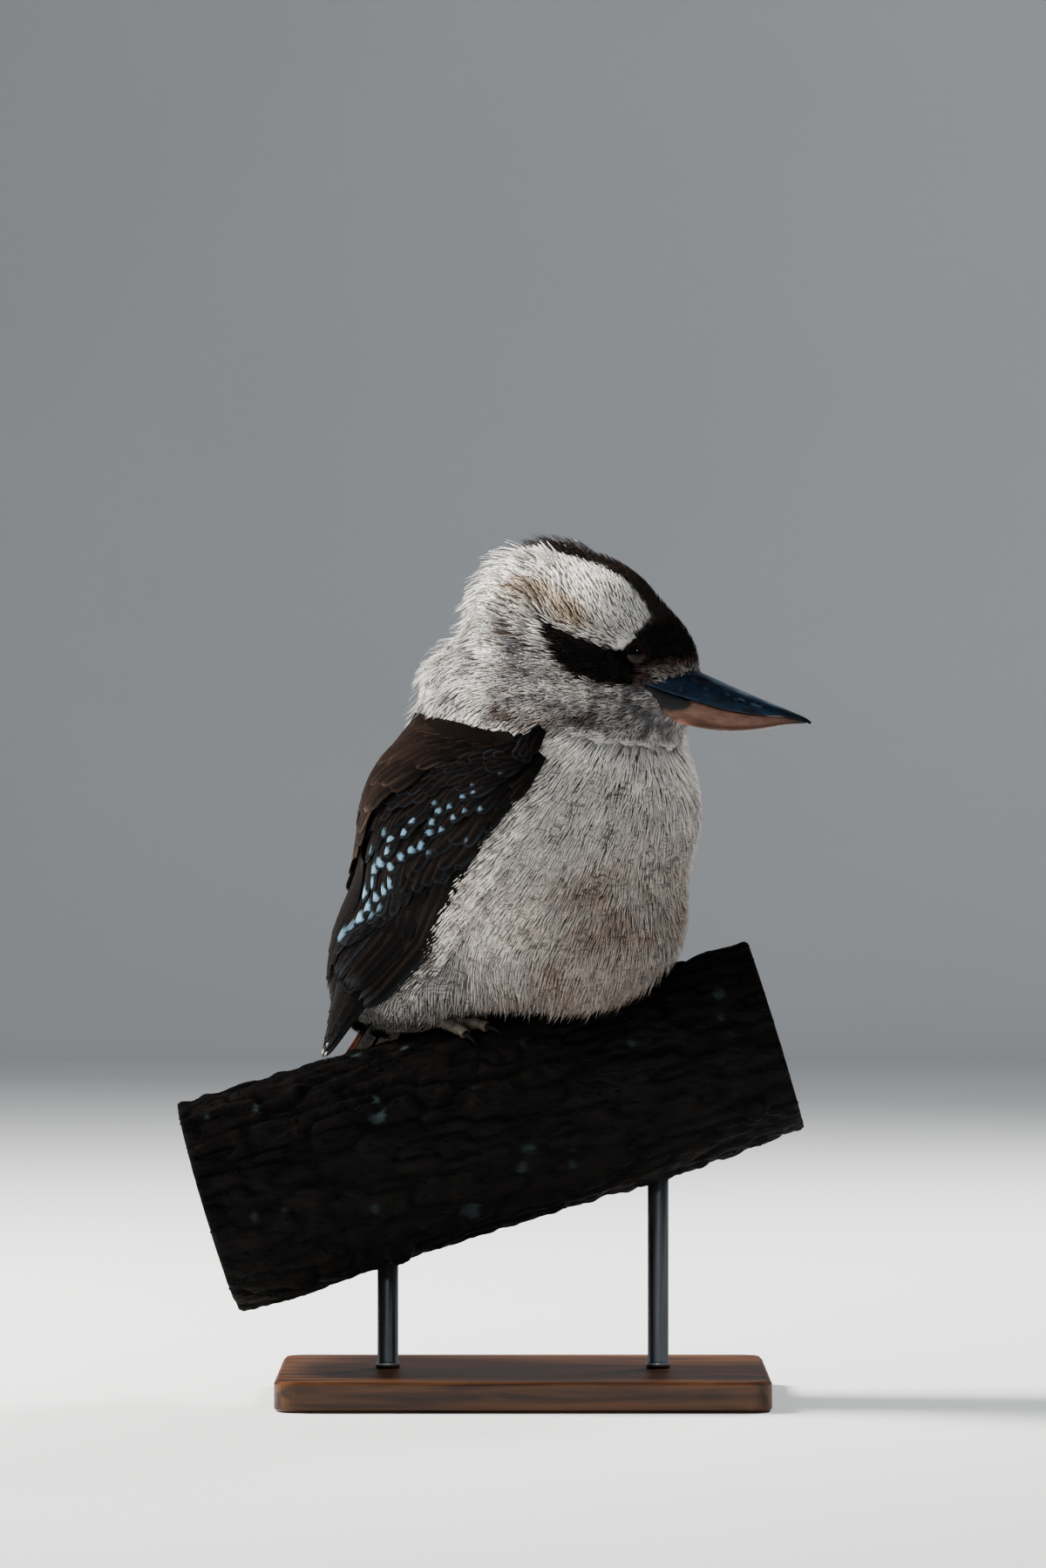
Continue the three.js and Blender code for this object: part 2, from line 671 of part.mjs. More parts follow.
const legs = { right: legSolids(1, perchRoom), left: legSolids(-1, perchRoom) };
const legRooms = [legRoom(1), legRoom(-1)].map(inBody);

const upperRaw = billSolid(true).subtract(nostril(1)).subtract(nostril(-1));
const lowerRaw = billSolid(false);
const toHeadFrame = (solid) => solidOf(geometryOf(solid), headMatrix);

let head = outlineFrom(V(-24, 0, 2).applyMatrix4(headMatrix), 8).intersect(sideOf(HEAD_CUT, true));
const headRoom = outlineFrom(V(-24, 0, 2).applyMatrix4(headMatrix), 8, GAP);
for (const side of [1, -1]) {
  const lids = solidOf(ball(EYE.radius + GAP + EYE.lid, 2), eyeMatrix(side));
  head = head.add(lids).subtract(lidOpening(side));
}
for (const side of [1, -1]) head = head.subtract(solidOf(ball(EYE.radius + GAP, 2), eyeMatrix(side)));
head = largest(head);

const neck = largest(
  outlineFrom(V(38, 0, 140), 6).intersect(sideOf(HEAD_CUT, false)).intersect(sideOf(NECK_CUT, true)),
);

const bodyRoom = outlineFrom(V(20, 0, 75), 8, GAP);
let torso = outlineFrom(V(20, 0, 75), 8).intersect(sideOf(NECK_CUT, false)).subtract(perchInBody);
for (const room of legRooms) torso = torso.subtract(room);
torso = largest(torso);

const bird = {
  head: [head, PLUMAGE_PALE],
  neck: [neck, PLUMAGE_PALE],
  torso: [torso, PLUMAGE_PALE],
  bill_upper: [largest(toHeadFrame(upperRaw).subtract(headRoom)), BILL_DARK],
  bill_lower: [largest(toHeadFrame(lowerRaw).subtract(headRoom)), BILL_HORN],
  wing_right: [wingSolid(1, bodyRoom, perchInBody), PLUMAGE_DARK],
  wing_left: [wingSolid(-1, bodyRoom, perchInBody), PLUMAGE_DARK],
  tail: [tailSolid(bodyRoom, perchInBody), PLUMAGE_TAIL],
};

const birdGroup = new THREE.Group();
birdGroup.applyMatrix4(bodyMatrix);
for (const [name, [solid, material]] of Object.entries(bird)) {
  const mesh = new THREE.Mesh(geometryOf(solid), material);
  mesh.name = name;
  birdGroup.add(mesh);
}
for (const [name, side] of [["eye_right", 1], ["eye_left", -1]]) {
  const eye = new THREE.Mesh(ball(EYE.radius, 2), EYE_BROWN);
  eye.name = name;
  eye.applyMatrix4(eyeMatrix(side));
  birdGroup.add(eye);
}

const part = new THREE.Group();
part.add(birdGroup);
for (const [side, { leg, claws }] of Object.entries(legs)) {
  const mesh = new THREE.Mesh(geometryOf(leg), FOOT_SKIN);
  mesh.name = "leg_" + side;
  part.add(mesh);
  claws.forEach((claw, i) => {
    const tip = new THREE.Mesh(geometryOf(claw), CLAW_HORN);
    tip.name = `claw_${side}_${i + 1}`;
    part.add(tip);
  });
}

const stubs = [twigStub(-72, 2.6, 5, 5, 5), twigStub(102, 2.2, 4.5, 5, 6)];
const perch = new THREE.Mesh(geometryOf(largest(Manifold.union([perchSolid(0, 28, 10), ...stubs]))), BARK);
perch.name = "perch";
part.add(perch);

// The stand: a flat base and two rods up to the branch
function baseShape() {
  const [w, d, r] = [BASE.length / 2 - BASE.bevel, BASE.width / 2 - BASE.bevel, BASE.corner];
  const shape = new THREE.Shape();
  shape.moveTo(-w + r, -d);
  shape.lineTo(w - r, -d);
  shape.absarc(w - r, -d + r, r, -PI / 2, 0);
  shape.absarc(w - r, d - r, r, 0, PI / 2);
  shape.absarc(-w + r, d - r, r, PI / 2, PI);
  shape.absarc(-w + r, -d + r, r, PI, 1.5 * PI);
  return shape;
}
const baseSolid = new THREE.ExtrudeGeometry(baseShape(), {
  depth: BASE.height - 2 * BASE.bevel,
  bevelThickness: BASE.bevel,
  bevelSize: BASE.bevel,
  bevelSegments: 1,
  curveSegments: 4,
}).translate(0, 0, BASE.bevel);
const base = new THREE.Mesh(geometryOf(solidOf(baseSolid)), BASE_WOOD);
base.name = "stand_base";
part.add(base);

ROD.x.forEach((x, i) => {
  const top = PERCH.middleZ;
  const bottom = BASE.height + GAP;
  const cylinder = new THREE.CylinderGeometry(ROD.radius, ROD.radius, top - bottom, 24)
    .rotateX(PI / 2)
    .translate(x, 0, (top + bottom) / 2);
  const rod = new THREE.Mesh(geometryOf(largest(solidOf(cylinder).subtract(perchRoom))), ROD_STEEL);
  rod.name = `stand_rod_${i + 1}`;
  part.add(rod);
});

export default part;
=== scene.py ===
# A laughing kookaburra at rest on a cut length of thick branch, life size, on a plain display stand.
# The sizes of the bird, the branch and the feathers are in millimetres, and mesh_piece() makes them metres.
# Lights, the camera, the floor and the materials' own distances are in metres.
import itertools
import math

import bmesh
import bpy
import numpy as np
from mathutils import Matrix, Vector


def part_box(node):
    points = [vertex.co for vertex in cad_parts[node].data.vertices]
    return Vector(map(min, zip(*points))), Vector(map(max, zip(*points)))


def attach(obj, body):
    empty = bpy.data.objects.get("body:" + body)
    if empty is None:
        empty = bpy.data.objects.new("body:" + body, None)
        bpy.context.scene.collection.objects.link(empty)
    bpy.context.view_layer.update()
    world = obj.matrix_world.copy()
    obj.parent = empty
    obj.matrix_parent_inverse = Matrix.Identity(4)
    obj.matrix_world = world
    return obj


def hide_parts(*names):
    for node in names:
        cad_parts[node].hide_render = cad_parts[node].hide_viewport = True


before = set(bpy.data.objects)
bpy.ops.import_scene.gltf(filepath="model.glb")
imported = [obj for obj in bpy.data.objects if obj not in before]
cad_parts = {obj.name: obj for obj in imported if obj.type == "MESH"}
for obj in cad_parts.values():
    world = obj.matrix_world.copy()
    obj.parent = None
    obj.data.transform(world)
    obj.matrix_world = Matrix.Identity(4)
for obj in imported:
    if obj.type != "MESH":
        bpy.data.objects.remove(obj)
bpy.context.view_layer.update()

# The bird's stance: the body's heading, and the head turned back and nodded from it, in degrees
BODY_YAW = 34
HEAD_TURN = 9
HEAD_NOD = 10.3
FEET_AT = np.array([-18.0, 0.0, 177.3])
HEAD_AT = np.array([91.8, 0.0, 163.3])

# Ellipsoids whose smooth union is the plumage's outline: middle, half lengths, dip in degrees
TRUNK_FORMS = [
    ((43, 0, 93), (66, 58, 60), 0),
    ((43, 0, 44), (55, 53, 44), 0),
    ((-7, 0, 80), (44, 50, 56), 0),
    ((-38, 0, 41), (56, 30, 28), -52),
    ((-14, 0, 12), (44, 35, 20), -12),
    ((24, 0, 146), (51, 42, 34), 0),
    ((50, 0, 128), (42, 42, 34), 0),
]
HEAD_FORMS = [
    ((-2, 0, -6), (25, 20, 26), 0),
    ((-34, 0, 2), (40, 31, 37), 0),
    ((-58, 0, 4), (33, 29, 35), 0),
    ((-14, 0, -20), (34, 25, 18), 0),
    ((9, 0, -18), (19, 13, 12), 0),
]
# How far a body feather points down, in degrees
BODY_LIE = 56
TRUNK_BLEND = 22
HEAD_BLEND = 12

# The coat's depth over the skin, on the body and on the face
COAT_DEPTH = 3.6
FACE_DEPTH = 1.5
SKIN_GRID = 2.4

SIDES = ((1, "right"), (-1, "left"))

EYE = {"radius": 8.2, "side": 13.8, "long": 12.6, "high": 11.6, "forward": 8, "up": 4}

BILL_BASE = 6.0
BILL_TIP = 82.4
LOWER_TIP = 80.0
MOUTH_GAP = 0.32
NOSTRIL_AT = 29.5
CULMEN = [
    (6, 0.2), (12, -1.2), (27.7, -4.5), (45, -8.2), (60.6, -11.2), (74, -13.8), (80, -15.2), (82.4, -16.2),
]
MOUTH = [
    (6, -13.6), (12, -14.4), (27, -16), (45, -17.8), (58, -17.6), (72, -16.2), (80, -16.7), (82.4, -17.5),
]
KEEL = [(6, -26.8), (12, -27.3), (32, -28.6), (44, -27.8), (58.5, -24.2), (71, -19.8), (80, -17.4)]
BILL_HALF = [(6, 14.6), (12, 13.8), (30, 12.4), (45, 9.8), (60, 6.6), (74, 3.5), (80, 2.0), (82.4, 0.9)]

PERCH_SLOPE = 16.9
PERCH_AT = np.array([0, 0, 131.2])
PERCH_SPAN = tuple(end / math.cos(math.radians(PERCH_SLOPE)) for end in (-144, 116))
PERCH_RADIUS = (50.3, 45.0)
PERCH_SWELL = 1.3

WING_MIDDLE = np.array([-4.0, 0.0, 60.0])
WING_DIP = 52
WING_LOW = [(-84, -22), (-50, -20), (-20, -19), (24, -21), (56, -14), (85, 0), (106, 14)]
WING_HIGH = [(-84, 8), (-70, 34), (-52, 62), (-20, 79), (20, 84), (60, 84), (85, 68), (106, 44)]
WING_SIDE = [(-80, 10), (0, 30), (56, 38), (85, 30), (108, 21)]
WING_BACK = [(-80, 10), (0, 40), (50, 36), (85, 22), (108, 18)]

TAIL_AT = np.array([-50.0, 0.0, 10.0])
TAIL_DIP = 53
TAIL_LENGTH = 150
TAIL_ROOT = -26

FOOT_SIDE = 17
FOOT_AHEAD = -6
TOE_OUT = 8
TARSUS = 24
TOE_RADIUS = 3.0
CLAW_LENGTH = 8
TOE_SIDES = 18
# For each toe: turn outwards in degrees, length along the bark, and how far its root is set over
TOES = [(22, 16, 2.6), (2, 22, 0.6), (-14, 18, -2.4), (184, 12, 0)]


# Small helpers on arrays of points, one point in each row
def turn_z(degrees):
    c, s = math.cos(math.radians(degrees)), math.sin(math.radians(degrees))
    return np.array([[c, -s, 0], [s, c, 0], [0, 0, 1.0]])


def turn_y(degrees):
    c, s = math.cos(math.radians(degrees)), math.sin(math.radians(degrees))
    return np.array([[c, 0, s], [0, 1, 0], [-s, 0, c]])


def slope(degrees, way=1):
    """The direction along a slope and the one square to it. A way of -1 points down the slope."""
    c, s = math.cos(math.radians(degrees)), math.sin(math.radians(degrees))
    return np.array([way * c, 0, way * s]), np.array([-s, 0, c])


BODY_TURN = turn_z(-BODY_YAW)
HEAD_TURNED = turn_z(HEAD_TURN) @ turn_y(HEAD_NOD)
PERCH_AXIS, PERCH_UP = slope(PERCH_SLOPE)
WING_ALONG, WING_OUT = slope(WING_DIP, -1)
TAIL_OUT, TAIL_TOP = slope(TAIL_DIP, -1)
FEATHER_LIE = slope(BODY_LIE, -1)[0]


def unit(vectors):
    return vectors / np.maximum(np.linalg.norm(vectors, axis=-1, keepdims=True), 1e-9)


def from_body(points):
    return points @ BODY_TURN.T + FEET_AT


def to_body(points):
    return (points - FEET_AT) @ BODY_TURN


def in_head(points):
    return (points - HEAD_AT) @ HEAD_TURNED


def from_head(points):
    return points @ HEAD_TURNED.T + HEAD_AT


def along(pairs, place):
    """A value read from (place, value) pairs."""
    places, values = zip(*pairs)
    return np.interp(place, places, values)


def smooth_along(pairs, place):
    """The same, with its corners rounded off."""
    places, values = np.array(pairs, float).T
    fine = np.linspace(places[0], places[-1], 300)
    slopes = np.gradient(values, places)
    index = np.clip(np.searchsorted(places, fine, "right") - 1, 0, len(places) - 2)
    gap = places[index + 1] - places[index]
    t = (fine - places[index]) / gap
    eased = (
        (2 * t**3 - 3 * t**2 + 1) * values[index]
        + (t**3 - 2 * t**2 + t) * gap * slopes[index]
        + (3 * t**2 - 2 * t**3) * values[index + 1]
        + (t**3 - t**2) * gap * slopes[index + 1]
    )
    return np.interp(place, fine, eased)


def ramp(value, start, end):
    """0 before start, 1 after end, smooth between them."""
    t = np.clip((value - start) / (end - start), 0, 1)
    return t * t * (3 - 2 * t)


def mix(a, b, share):
    share = np.asarray(share)[..., None]
    return a * (1 - share) + b * share


def noise(points, seed):
    """Smooth noise from -1 to 1, at points given in cells."""
    cell = np.floor(points).astype(np.int64)
    part = points - cell
    part = part * part * (3 - 2 * part)
    total = np.zeros(len(points))
    for corner in range(8):
        offset = np.array([(corner >> k) & 1 for k in range(3)])
        at = cell + offset
        mixed = at[:, 0] * 73856093 ^ at[:, 1] * 19349663 ^ at[:, 2] * 83492791 ^ seed * 40503
        mixed = (mixed ^ (mixed >> 13)) * 1274126177 & 0x7FFFFFFF
        mixed = (mixed ^ (mixed >> 11)) * 668265263 & 0x7FFFFFFF
        value = mixed / 0x3FFFFFFF - 1
        total += value * np.prod(np.where(offset == 1, part, 1 - part), axis=1)
    return total


def colour(red, green, blue):
    """A linear colour from a screen colour of 0 to 255."""
    screen = np.array([red, green, blue]) / 255
    return np.where(screen <= 0.04045, screen / 12.92, ((screen + 0.055) / 1.055) ** 2.4)


# The plumage's outline as a field: negative inside, close to the distance near the surface
def ellipsoid(points, middle, half, dip):
    q = points - np.array(middle, float)
    half = np.array(half, float)
    c, s = math.cos(math.radians(dip)), math.sin(math.radians(dip))
    turned = np.stack([c * q[:, 0] - s * q[:, 2], q[:, 1], s * q[:, 0] + c * q[:, 2]], 1) / half
    a = np.sqrt((turned**2).sum(1))
    b = np.sqrt(((turned / half) ** 2).sum(1))
    return a * (a - 1) / np.maximum(b, 1e-9)


def blend(a, b, width):
    h = np.maximum(width - np.abs(a - b), 0) / width
    return np.minimum(a, b) - h * h * width / 4


def outline(points):
    trunk = ellipsoid(points, *TRUNK_FORMS[0])
    for form in TRUNK_FORMS[1:]:
        trunk = blend(trunk, ellipsoid(points, *form), TRUNK_BLEND)
    inside = in_head(points)
    head = ellipsoid(inside, *HEAD_FORMS[0])
    for form in HEAD_FORMS[1:]:
        head = blend(head, ellipsoid(inside, *form), HEAD_BLEND)
    return blend(trunk, head, HEAD_BLEND)


def normals(points, value=None):
    if value is None:
        value = outline(points)
    step = 0.4
    sides = [outline(points + step * axis) - value for axis in np.eye(3)]
    return unit(np.stack(sides, 1))


def project(points, height, rounds=2):
    """Moves points straight out or in to a height over the outline."""
    for _ in range(rounds):
        value = outline(points)
        points = points + normals(points, value) * (height - value)[:, None]
    return points


def reach(start, direction, far=140):
    """How far the outline lies from points inside it, along directions."""
    near = np.zeros(len(start))
    beyond = np.full(len(start), float(far))
    open_still = np.ones(len(start), bool)
    for distance in np.arange(0, far, 3.0):
        value = outline(start + direction * distance)
        left = open_still & (value > 0)
        beyond[left] = distance
        open_still &= ~left
        near[open_still] = distance
    for _ in range(12):
        middle = (near + beyond) / 2
        inside = outline(start + direction * middle[:, None]) < 0
        near = np.where(inside, middle, near)
        beyond = np.where(inside, beyond, middle)
    return (near + beyond) / 2


# Meshes
def mesh_piece(name, points, faces, smooth=True, **layers):
    """An object from points in the model's frame in millimetres. Layers are attributes of its points."""
    mesh = bpy.data.meshes.new(name)
    points = np.ascontiguousarray(points, dtype=np.float32) * 0.001
    faces = np.asarray(faces, dtype=np.int32)
    mesh.vertices.add(len(points))
    mesh.vertices.foreach_set("co", points.ravel())
    sides = faces.shape[1]
    mesh.loops.add(faces.size)
    mesh.loops.foreach_set("vertex_index", faces.ravel())
    mesh.polygons.add(len(faces))
    mesh.polygons.foreach_set("loop_start", np.arange(0, faces.size, sides, dtype=np.int32))
    mesh.polygons.foreach_set("loop_total", np.full(len(faces), sides, dtype=np.int32))
    mesh.update(calc_edges=True)
    mesh.validate()
    for key, values in layers.items():
        values = np.asarray(values, np.float32)
        kind, field = ("FLOAT", "value") if values.ndim == 1 else ("FLOAT_VECTOR", "vector")
        if key == "tone":
            kind, field = "FLOAT_COLOR", "color"
            values = np.concatenate([values, np.ones((len(values), 1), np.float32)], 1)
        mesh.attributes.new(key, kind, "POINT").data.foreach_set(field, values.ravel())
    if smooth:
        mesh.polygons.foreach_set("use_smooth", np.ones(len(mesh.polygons), bool))
    piece = bpy.data.objects.new(name, mesh)
    bpy.context.scene.collection.objects.link(piece)
    return piece


def dress(piece, material, stands_for=()):
    """Gives a piece its material, its body and the CAD nodes that it takes the place of."""
    piece.data.materials.clear()
    piece.data.materials.append(material)
    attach(piece, "root")
    if stands_for:
        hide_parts(*stands_for)
    return piece


def face_out(piece):
    """Merges doubles and turns every face outwards."""
    work = bmesh.new()
    work.from_mesh(piece.data)
    bmesh.ops.remove_doubles(work, verts=work.verts, dist=1e-6)
    bmesh.ops.recalc_face_normals(work, faces=work.faces)
    work.to_mesh(piece.data)
    work.free()
    return piece


def bake_map(piece, places):
    """The OFBake map, with a place on the unwrap for each point of the mesh."""
    mesh = piece.data
    layer = mesh.uv_layers.new(name="OFBake")
    loops = np.empty(len(mesh.loops), np.int32)
    mesh.loops.foreach_get("vertex_index", loops)
    layer.data.foreach_set("uv", np.asarray(places, np.float32)[loops].ravel())
    mesh.uv_layers.active = layer


def grid_faces(rows, columns, closed=False):
    """Quads between the points of rows by columns, closed round each row if asked."""
    span = columns if closed else columns - 1
    r, c = np.meshgrid(np.arange(rows - 1), np.arange(span), indexing="ij")
    a = r * columns + c
    b = r * columns + (c + 1) % columns
    return np.stack([a, b, b + columns, a + columns], -1).reshape(-1, 4)


def flat_faces(rows, columns):
    """The faces of a closed flat body, whose rings go over its top and back under it."""
    ring = 2 * columns
    last = (rows - 1) * ring
    faces = [tuple(face) for face in grid_faces(rows, ring, closed=True)]
    for j in range(columns - 1):
        faces.append((j, j + 1, ring - 2 - j, ring - 1 - j))
        faces.append((last + j + 1, last + j, last + ring - 1 - j, last + ring - 2 - j))
    return np.array(faces)


def repeated(template, count, size):
    """A template's faces once for each of a count of bodies with a size in points."""
    sides = template.shape[1]
    return (template[None] + (np.arange(count) * size)[:, None, None]).reshape(-1, sides)


def body_unwrap(points):
    """A place from 0 to 1 for each point of the body: round the bird's axis, and along it."""
    axis = unit(np.array([0.79, 0.0, 0.61]))
    up = unit(np.array([-0.61, 0.0, 0.79]))
    q = points - np.array([20.0, 0, 85])
    length = q @ axis
    round_it = np.arctan2(q[:, 1], q @ up)
    places = np.stack([round_it / (2 * math.pi) + 0.5, (length + 130) / 300], 1)
    return 0.02 + 0.96 * places


# Markings: the plumage's colours by place on the bird
WHITE = colour(240, 237, 230)
OFF_WHITE = colour(212, 208, 202)
GREY = colour(118, 116, 118)
TAN = colour(140, 120, 94)
BUFF = colour(146, 116, 92)
BROWN = colour(66, 48, 38)
DARK = colour(20, 15, 12)
BLACK = colour(9, 8, 9)
RUFOUS = colour(70, 45, 33)
BLUE = colour(122, 154, 174)
WING_DARK = colour(13, 10, 9)

# The black-brown mask on the side of the head, in the head's frame: forward, up
MASK = [
    (-40, 9), (-33, 6.8), (-25, 4.4), (-17, 2.0), (-9, 0.9), (-4, 2.6), (1, 8.5), (5, 16), (20, 18), (26, 4),
    (20, -2.5), (11, -5), (13, -12), (10.6, -15), (3.9, -13.8), (-5, -14.6), (-12, -14.2), (-20, -12.5),
    (-27, -9), (-32, -3), (-36, 3),
]
# Where the face is bare at the bill's root, and the pale skin before the eye
BARE = [
    (7.5, -11.5), (17, -8.8), (22, -6.6), (27.5, -4.4), (34, -4), (34, -29), (28, -28.2), (24, -26.5),
    (19.5, -24.2), (16.5, -21.5), (14.5, -18.6), (9.5, -15.2),
]
LORES = [
    (6, -6), (14, -2.5), (19, 0), (28, 1.5), (36, -1), (36, -7), (27, -7), (22, -9), (17, -11.5), (6, -14),
]
# Half the width of the dark stripe along the crown, by the distance forward
CROWN_STRIPE = [
    (-90, -3), (-78, 2.5), (-62, 8), (-46, 11.5), (-30, 12.5), (-12, 11), (0, 10.5), (6, 14), (10, 22),
]
# Where the dark mantle ends under the pale nape, by the distance forward
MANTLE_TOP = [(-112, -54), (-90, -45), (-70, -36), (-40, -36)]
# Marks behind and below the eye
TAN_PATCH = [(-62, 14), (-58, 23), (-44, 23), (-30, 17), (-15, 9), (-22, 7), (-34, 9), (-44, 12)]
EAR_BAND = [(-78, 6), (-62, 12), (-46, 10), (-40, 6), (-42, -4), (-60, -6), (-78, -2)]
CHEEK_LINE = [(-64, -27), (-50, -30), (-24, -31), (2, -26), (4, -29), (-22, -37), (-50, -37), (-64, -33)]


def edge_distance(x, y, corners):
    """The distance to a closed outline of straight edges, negative inside it."""
    nearest = np.full(len(x), 1e9)
    inside = np.zeros(len(x), bool)
    for (ax, ay), (bx, by) in zip(corners, corners[1:] + corners[:1]):
        ex, ey = bx - ax, by - ay
        t = np.clip(((x - ax) * ex + (y - ay) * ey) / (ex * ex + ey * ey), 0, 1)
        nearest = np.minimum(nearest, np.hypot(x - ax - t * ex, y - ay - t * ey))
        crossing = (ay > y) != (by > y)
        at = ax + (y - ay) / (by - ay if by != ay else 1e-9) * ex
        inside ^= crossing & (x < at)
    return np.where(inside, -nearest, nearest)


def wing_frame(points):
    """The distance along the folded wing's axis and the angle round it, from side to back."""
    q = points - WING_MIDDLE
    return q @ WING_ALONG, np.degrees(np.arctan2(q @ WING_OUT, np.abs(q[:, 1])))


def over(tone, paint, share):
    """A tone with one paint over it, by a share for each point."""
    return mix(tone, np.tile(paint, (len(tone), 1)), share)


def markings(points):
    """The plumage's colour at each point, and the chance there of a dark shaft and of a dark tip,
    and how dark it is."""
    x, y, z = in_head(points).T
    bx, by, bz = points.T
    wander = noise(points / 9.0, 3)
    fine = noise(points / 3.0, 4)
    tone = np.tile(OFF_WHITE, (len(points), 1))

    # Trunk: white breast with wavy ticks, a buff stain low in the middle, greyer flanks, grey below the
    # upper breast, and more grey over the lower belly and vent as painted shade
    tick = 0.5 + 0.25 * wander
    tone = over(tone, WHITE, 0.55 * ramp(bz, 84, 122) * ramp(bx, 30, 60))
    tone = over(tone, GREY, 0.22 * ramp(bz, 126, 96))
    stain = ramp(bz, 98, 50) * ramp(bx, 8, 50) * ramp(np.abs(by), 60, 36) * (1 - 0.35 * ramp(bz, 22, 4))
    tone = over(tone, BUFF, np.clip((0.1 + 0.4 * stain) * (0.85 + 0.6 * wander), 0, 0.7))
    tone = tone * (1 - 0.12 * stain + 0.08 * fine)[:, None]
    # Painted shade: grey over the lower belly and vent, growing towards the bottom
    tone = over(tone, GREY, 0.2 * ramp(bz, 76, 16))
    fringe = ramp(bz, 26, 4) * ramp(bx, -20, 10)
    tone = over(tone, BUFF * 0.62, 0.28 * fringe)
    flank = ramp(bx, 34, -10) * ramp(bz, 112, 60)
    tone = over(tone, GREY, np.clip(flank * (0.34 + 0.4 * fine), 0, 0.6))
    tick = tick + 0.22 * flank

    # Neck, throat and the bright tufts down the nape
    on_neck = ramp(bz, 112, 126)
    tone = mix(tone, np.tile(OFF_WHITE, (len(points), 1)), on_neck)
    nape = ramp(x, -44, -70) * ramp(z, -72, -46)
    tone = over(tone, WHITE, nape * np.clip(0.8 + 0.3 * wander, 0, 1))
    streaks = noise(np.stack([x / 7, y / 2.2, z / 2.2], 1), 11)
    tone = over(tone, GREY, nape * 0.85 * ramp(streaks + 0.4 * wander, -0.15, 0.45) * ramp(z, 8, -8))
    tone = over(tone, GREY, 0.35 * nape * ramp(z, 4, -16) * ramp(x, -104, -84))
    throat = on_neck * ramp(x, -30, -5) * ramp(z, -22, -32)
    tone = over(tone, WHITE, 0.6 * throat)
    shaft = np.where(on_neck > 0.5, 0.34, 0.015)

    # Cheeks, ear coverts and the brown line under them
    cheek = ramp(z, 4, -6) * ramp(z, -42, -32) * ramp(x, -64, -50) * ramp(x, 34, 20)
    tone = over(tone, GREY * 0.9, cheek * np.clip(0.68 + 0.6 * fine + 0.25 * wander, 0, 1))
    tick = np.maximum(tick * (1 - on_neck), 0.3 * cheek)
    ear = ramp(edge_distance(x, z, EAR_BAND) + 3 * fine, 4, -3)
    tone = over(tone, GREY * 0.4 + TAN * 0.12, 0.8 * ear * np.clip(0.8 + 0.5 * fine, 0.2, 1))
    line = ramp(edge_distance(x, z, CHEEK_LINE) + 3 * fine, 2, -2) * ramp(np.abs(y), 8, 14)
    tone = over(tone, BROWN, 0.75 * line * np.clip(0.75 + wander, 0.2, 1))
    shaft = np.maximum(shaft, np.maximum(0.5 * ear, 0.4 * line))

    # Crown: white with fine dark shafts, and a tan patch behind the mask
    crown = ramp(z, 0, 5) * ramp(x, -95, -80)
    tone = over(tone, WHITE, crown * (1 - 0.9 * ear))
    shaft = np.where(crown > 0.5, 0.6, shaft) * np.where(x < -56, 0.5, 1)
    tone = over(tone, GREY, 0.35 * crown * ramp(z, 16, 6) * ramp(x, -40, -20))
    tan = ramp(edge_distance(x, z, TAN_PATCH) + 2 * wander, 5, -3)
    tone = over(tone, TAN, 0.8 * tan * crown)

    # Dark: stripe over the crown, forehead and mask
    half = along(CROWN_STRIPE, x)
    stripe = ramp(np.abs(y) - half + 2.2 * fine, 1.4, -1.4) * ramp(z, 6, 10) * ramp(x, -98, -90)
    mask = ramp(edge_distance(x, z, MASK) + 0.8 * fine, 0.7, -0.7) * ramp(np.abs(y), 0, 2)
    front = ramp(x, 6, 9) * ramp(z, -4, -1)
    black = np.clip(np.maximum(stripe * 0.97, np.maximum(mask, front)), 0, 1)
    tone = over(tone, DARK * 0.65, black)
    tone = over(tone, BROWN * 0.8, 0.4 * black * ramp(z, 10, 16) * np.clip(0.4 + fine, 0, 1))
    tone = over(tone, BLACK, 0.9 * mask * ramp(z, 8, 2) * ramp(x, 14, 9))
    lores = ramp(edge_distance(x, z, LORES) + 1.4 * fine, 1.5, -1.5)
    worn = np.clip(0.6 + 0.9 * noise(points / 1.4, 9), 0, 1)
    tone = over(tone, colour(128, 108, 100), 0.7 * lores * worn)
    black = black * (1 - 0.7 * lores)

    # Mantle between the wings, back and rump: dark brown, then rusty bars
    u, angle = wing_frame(points)
    limit = along([(-95, 62), (-80, 44), (-60, 34), (-20, 40), (60, 50), (110, 58)], u)
    top = along(MANTLE_TOP, x)
    mantle = ramp(angle - limit + 4 * wander, -3, 3) * ramp(u, -92, -84) * ramp(z - top, 5, -5)
    tone = over(tone, DARK, mantle)
    tone = over(tone, colour(36, 28, 23), mantle * ramp(bz, 122, 104))
    rump = mantle * ramp(u, 52, 74)
    bars = mix(np.tile(RUFOUS, (len(points), 1)), BROWN, 0.5 + 0.5 * np.sin(u / 1.5))
    tone = mix(tone, bars, 0.7 * rump)
    dark = np.clip(black + mantle, 0, 1)
    return tone, shaft * (1 - dark), tick * (1 - dark), dark


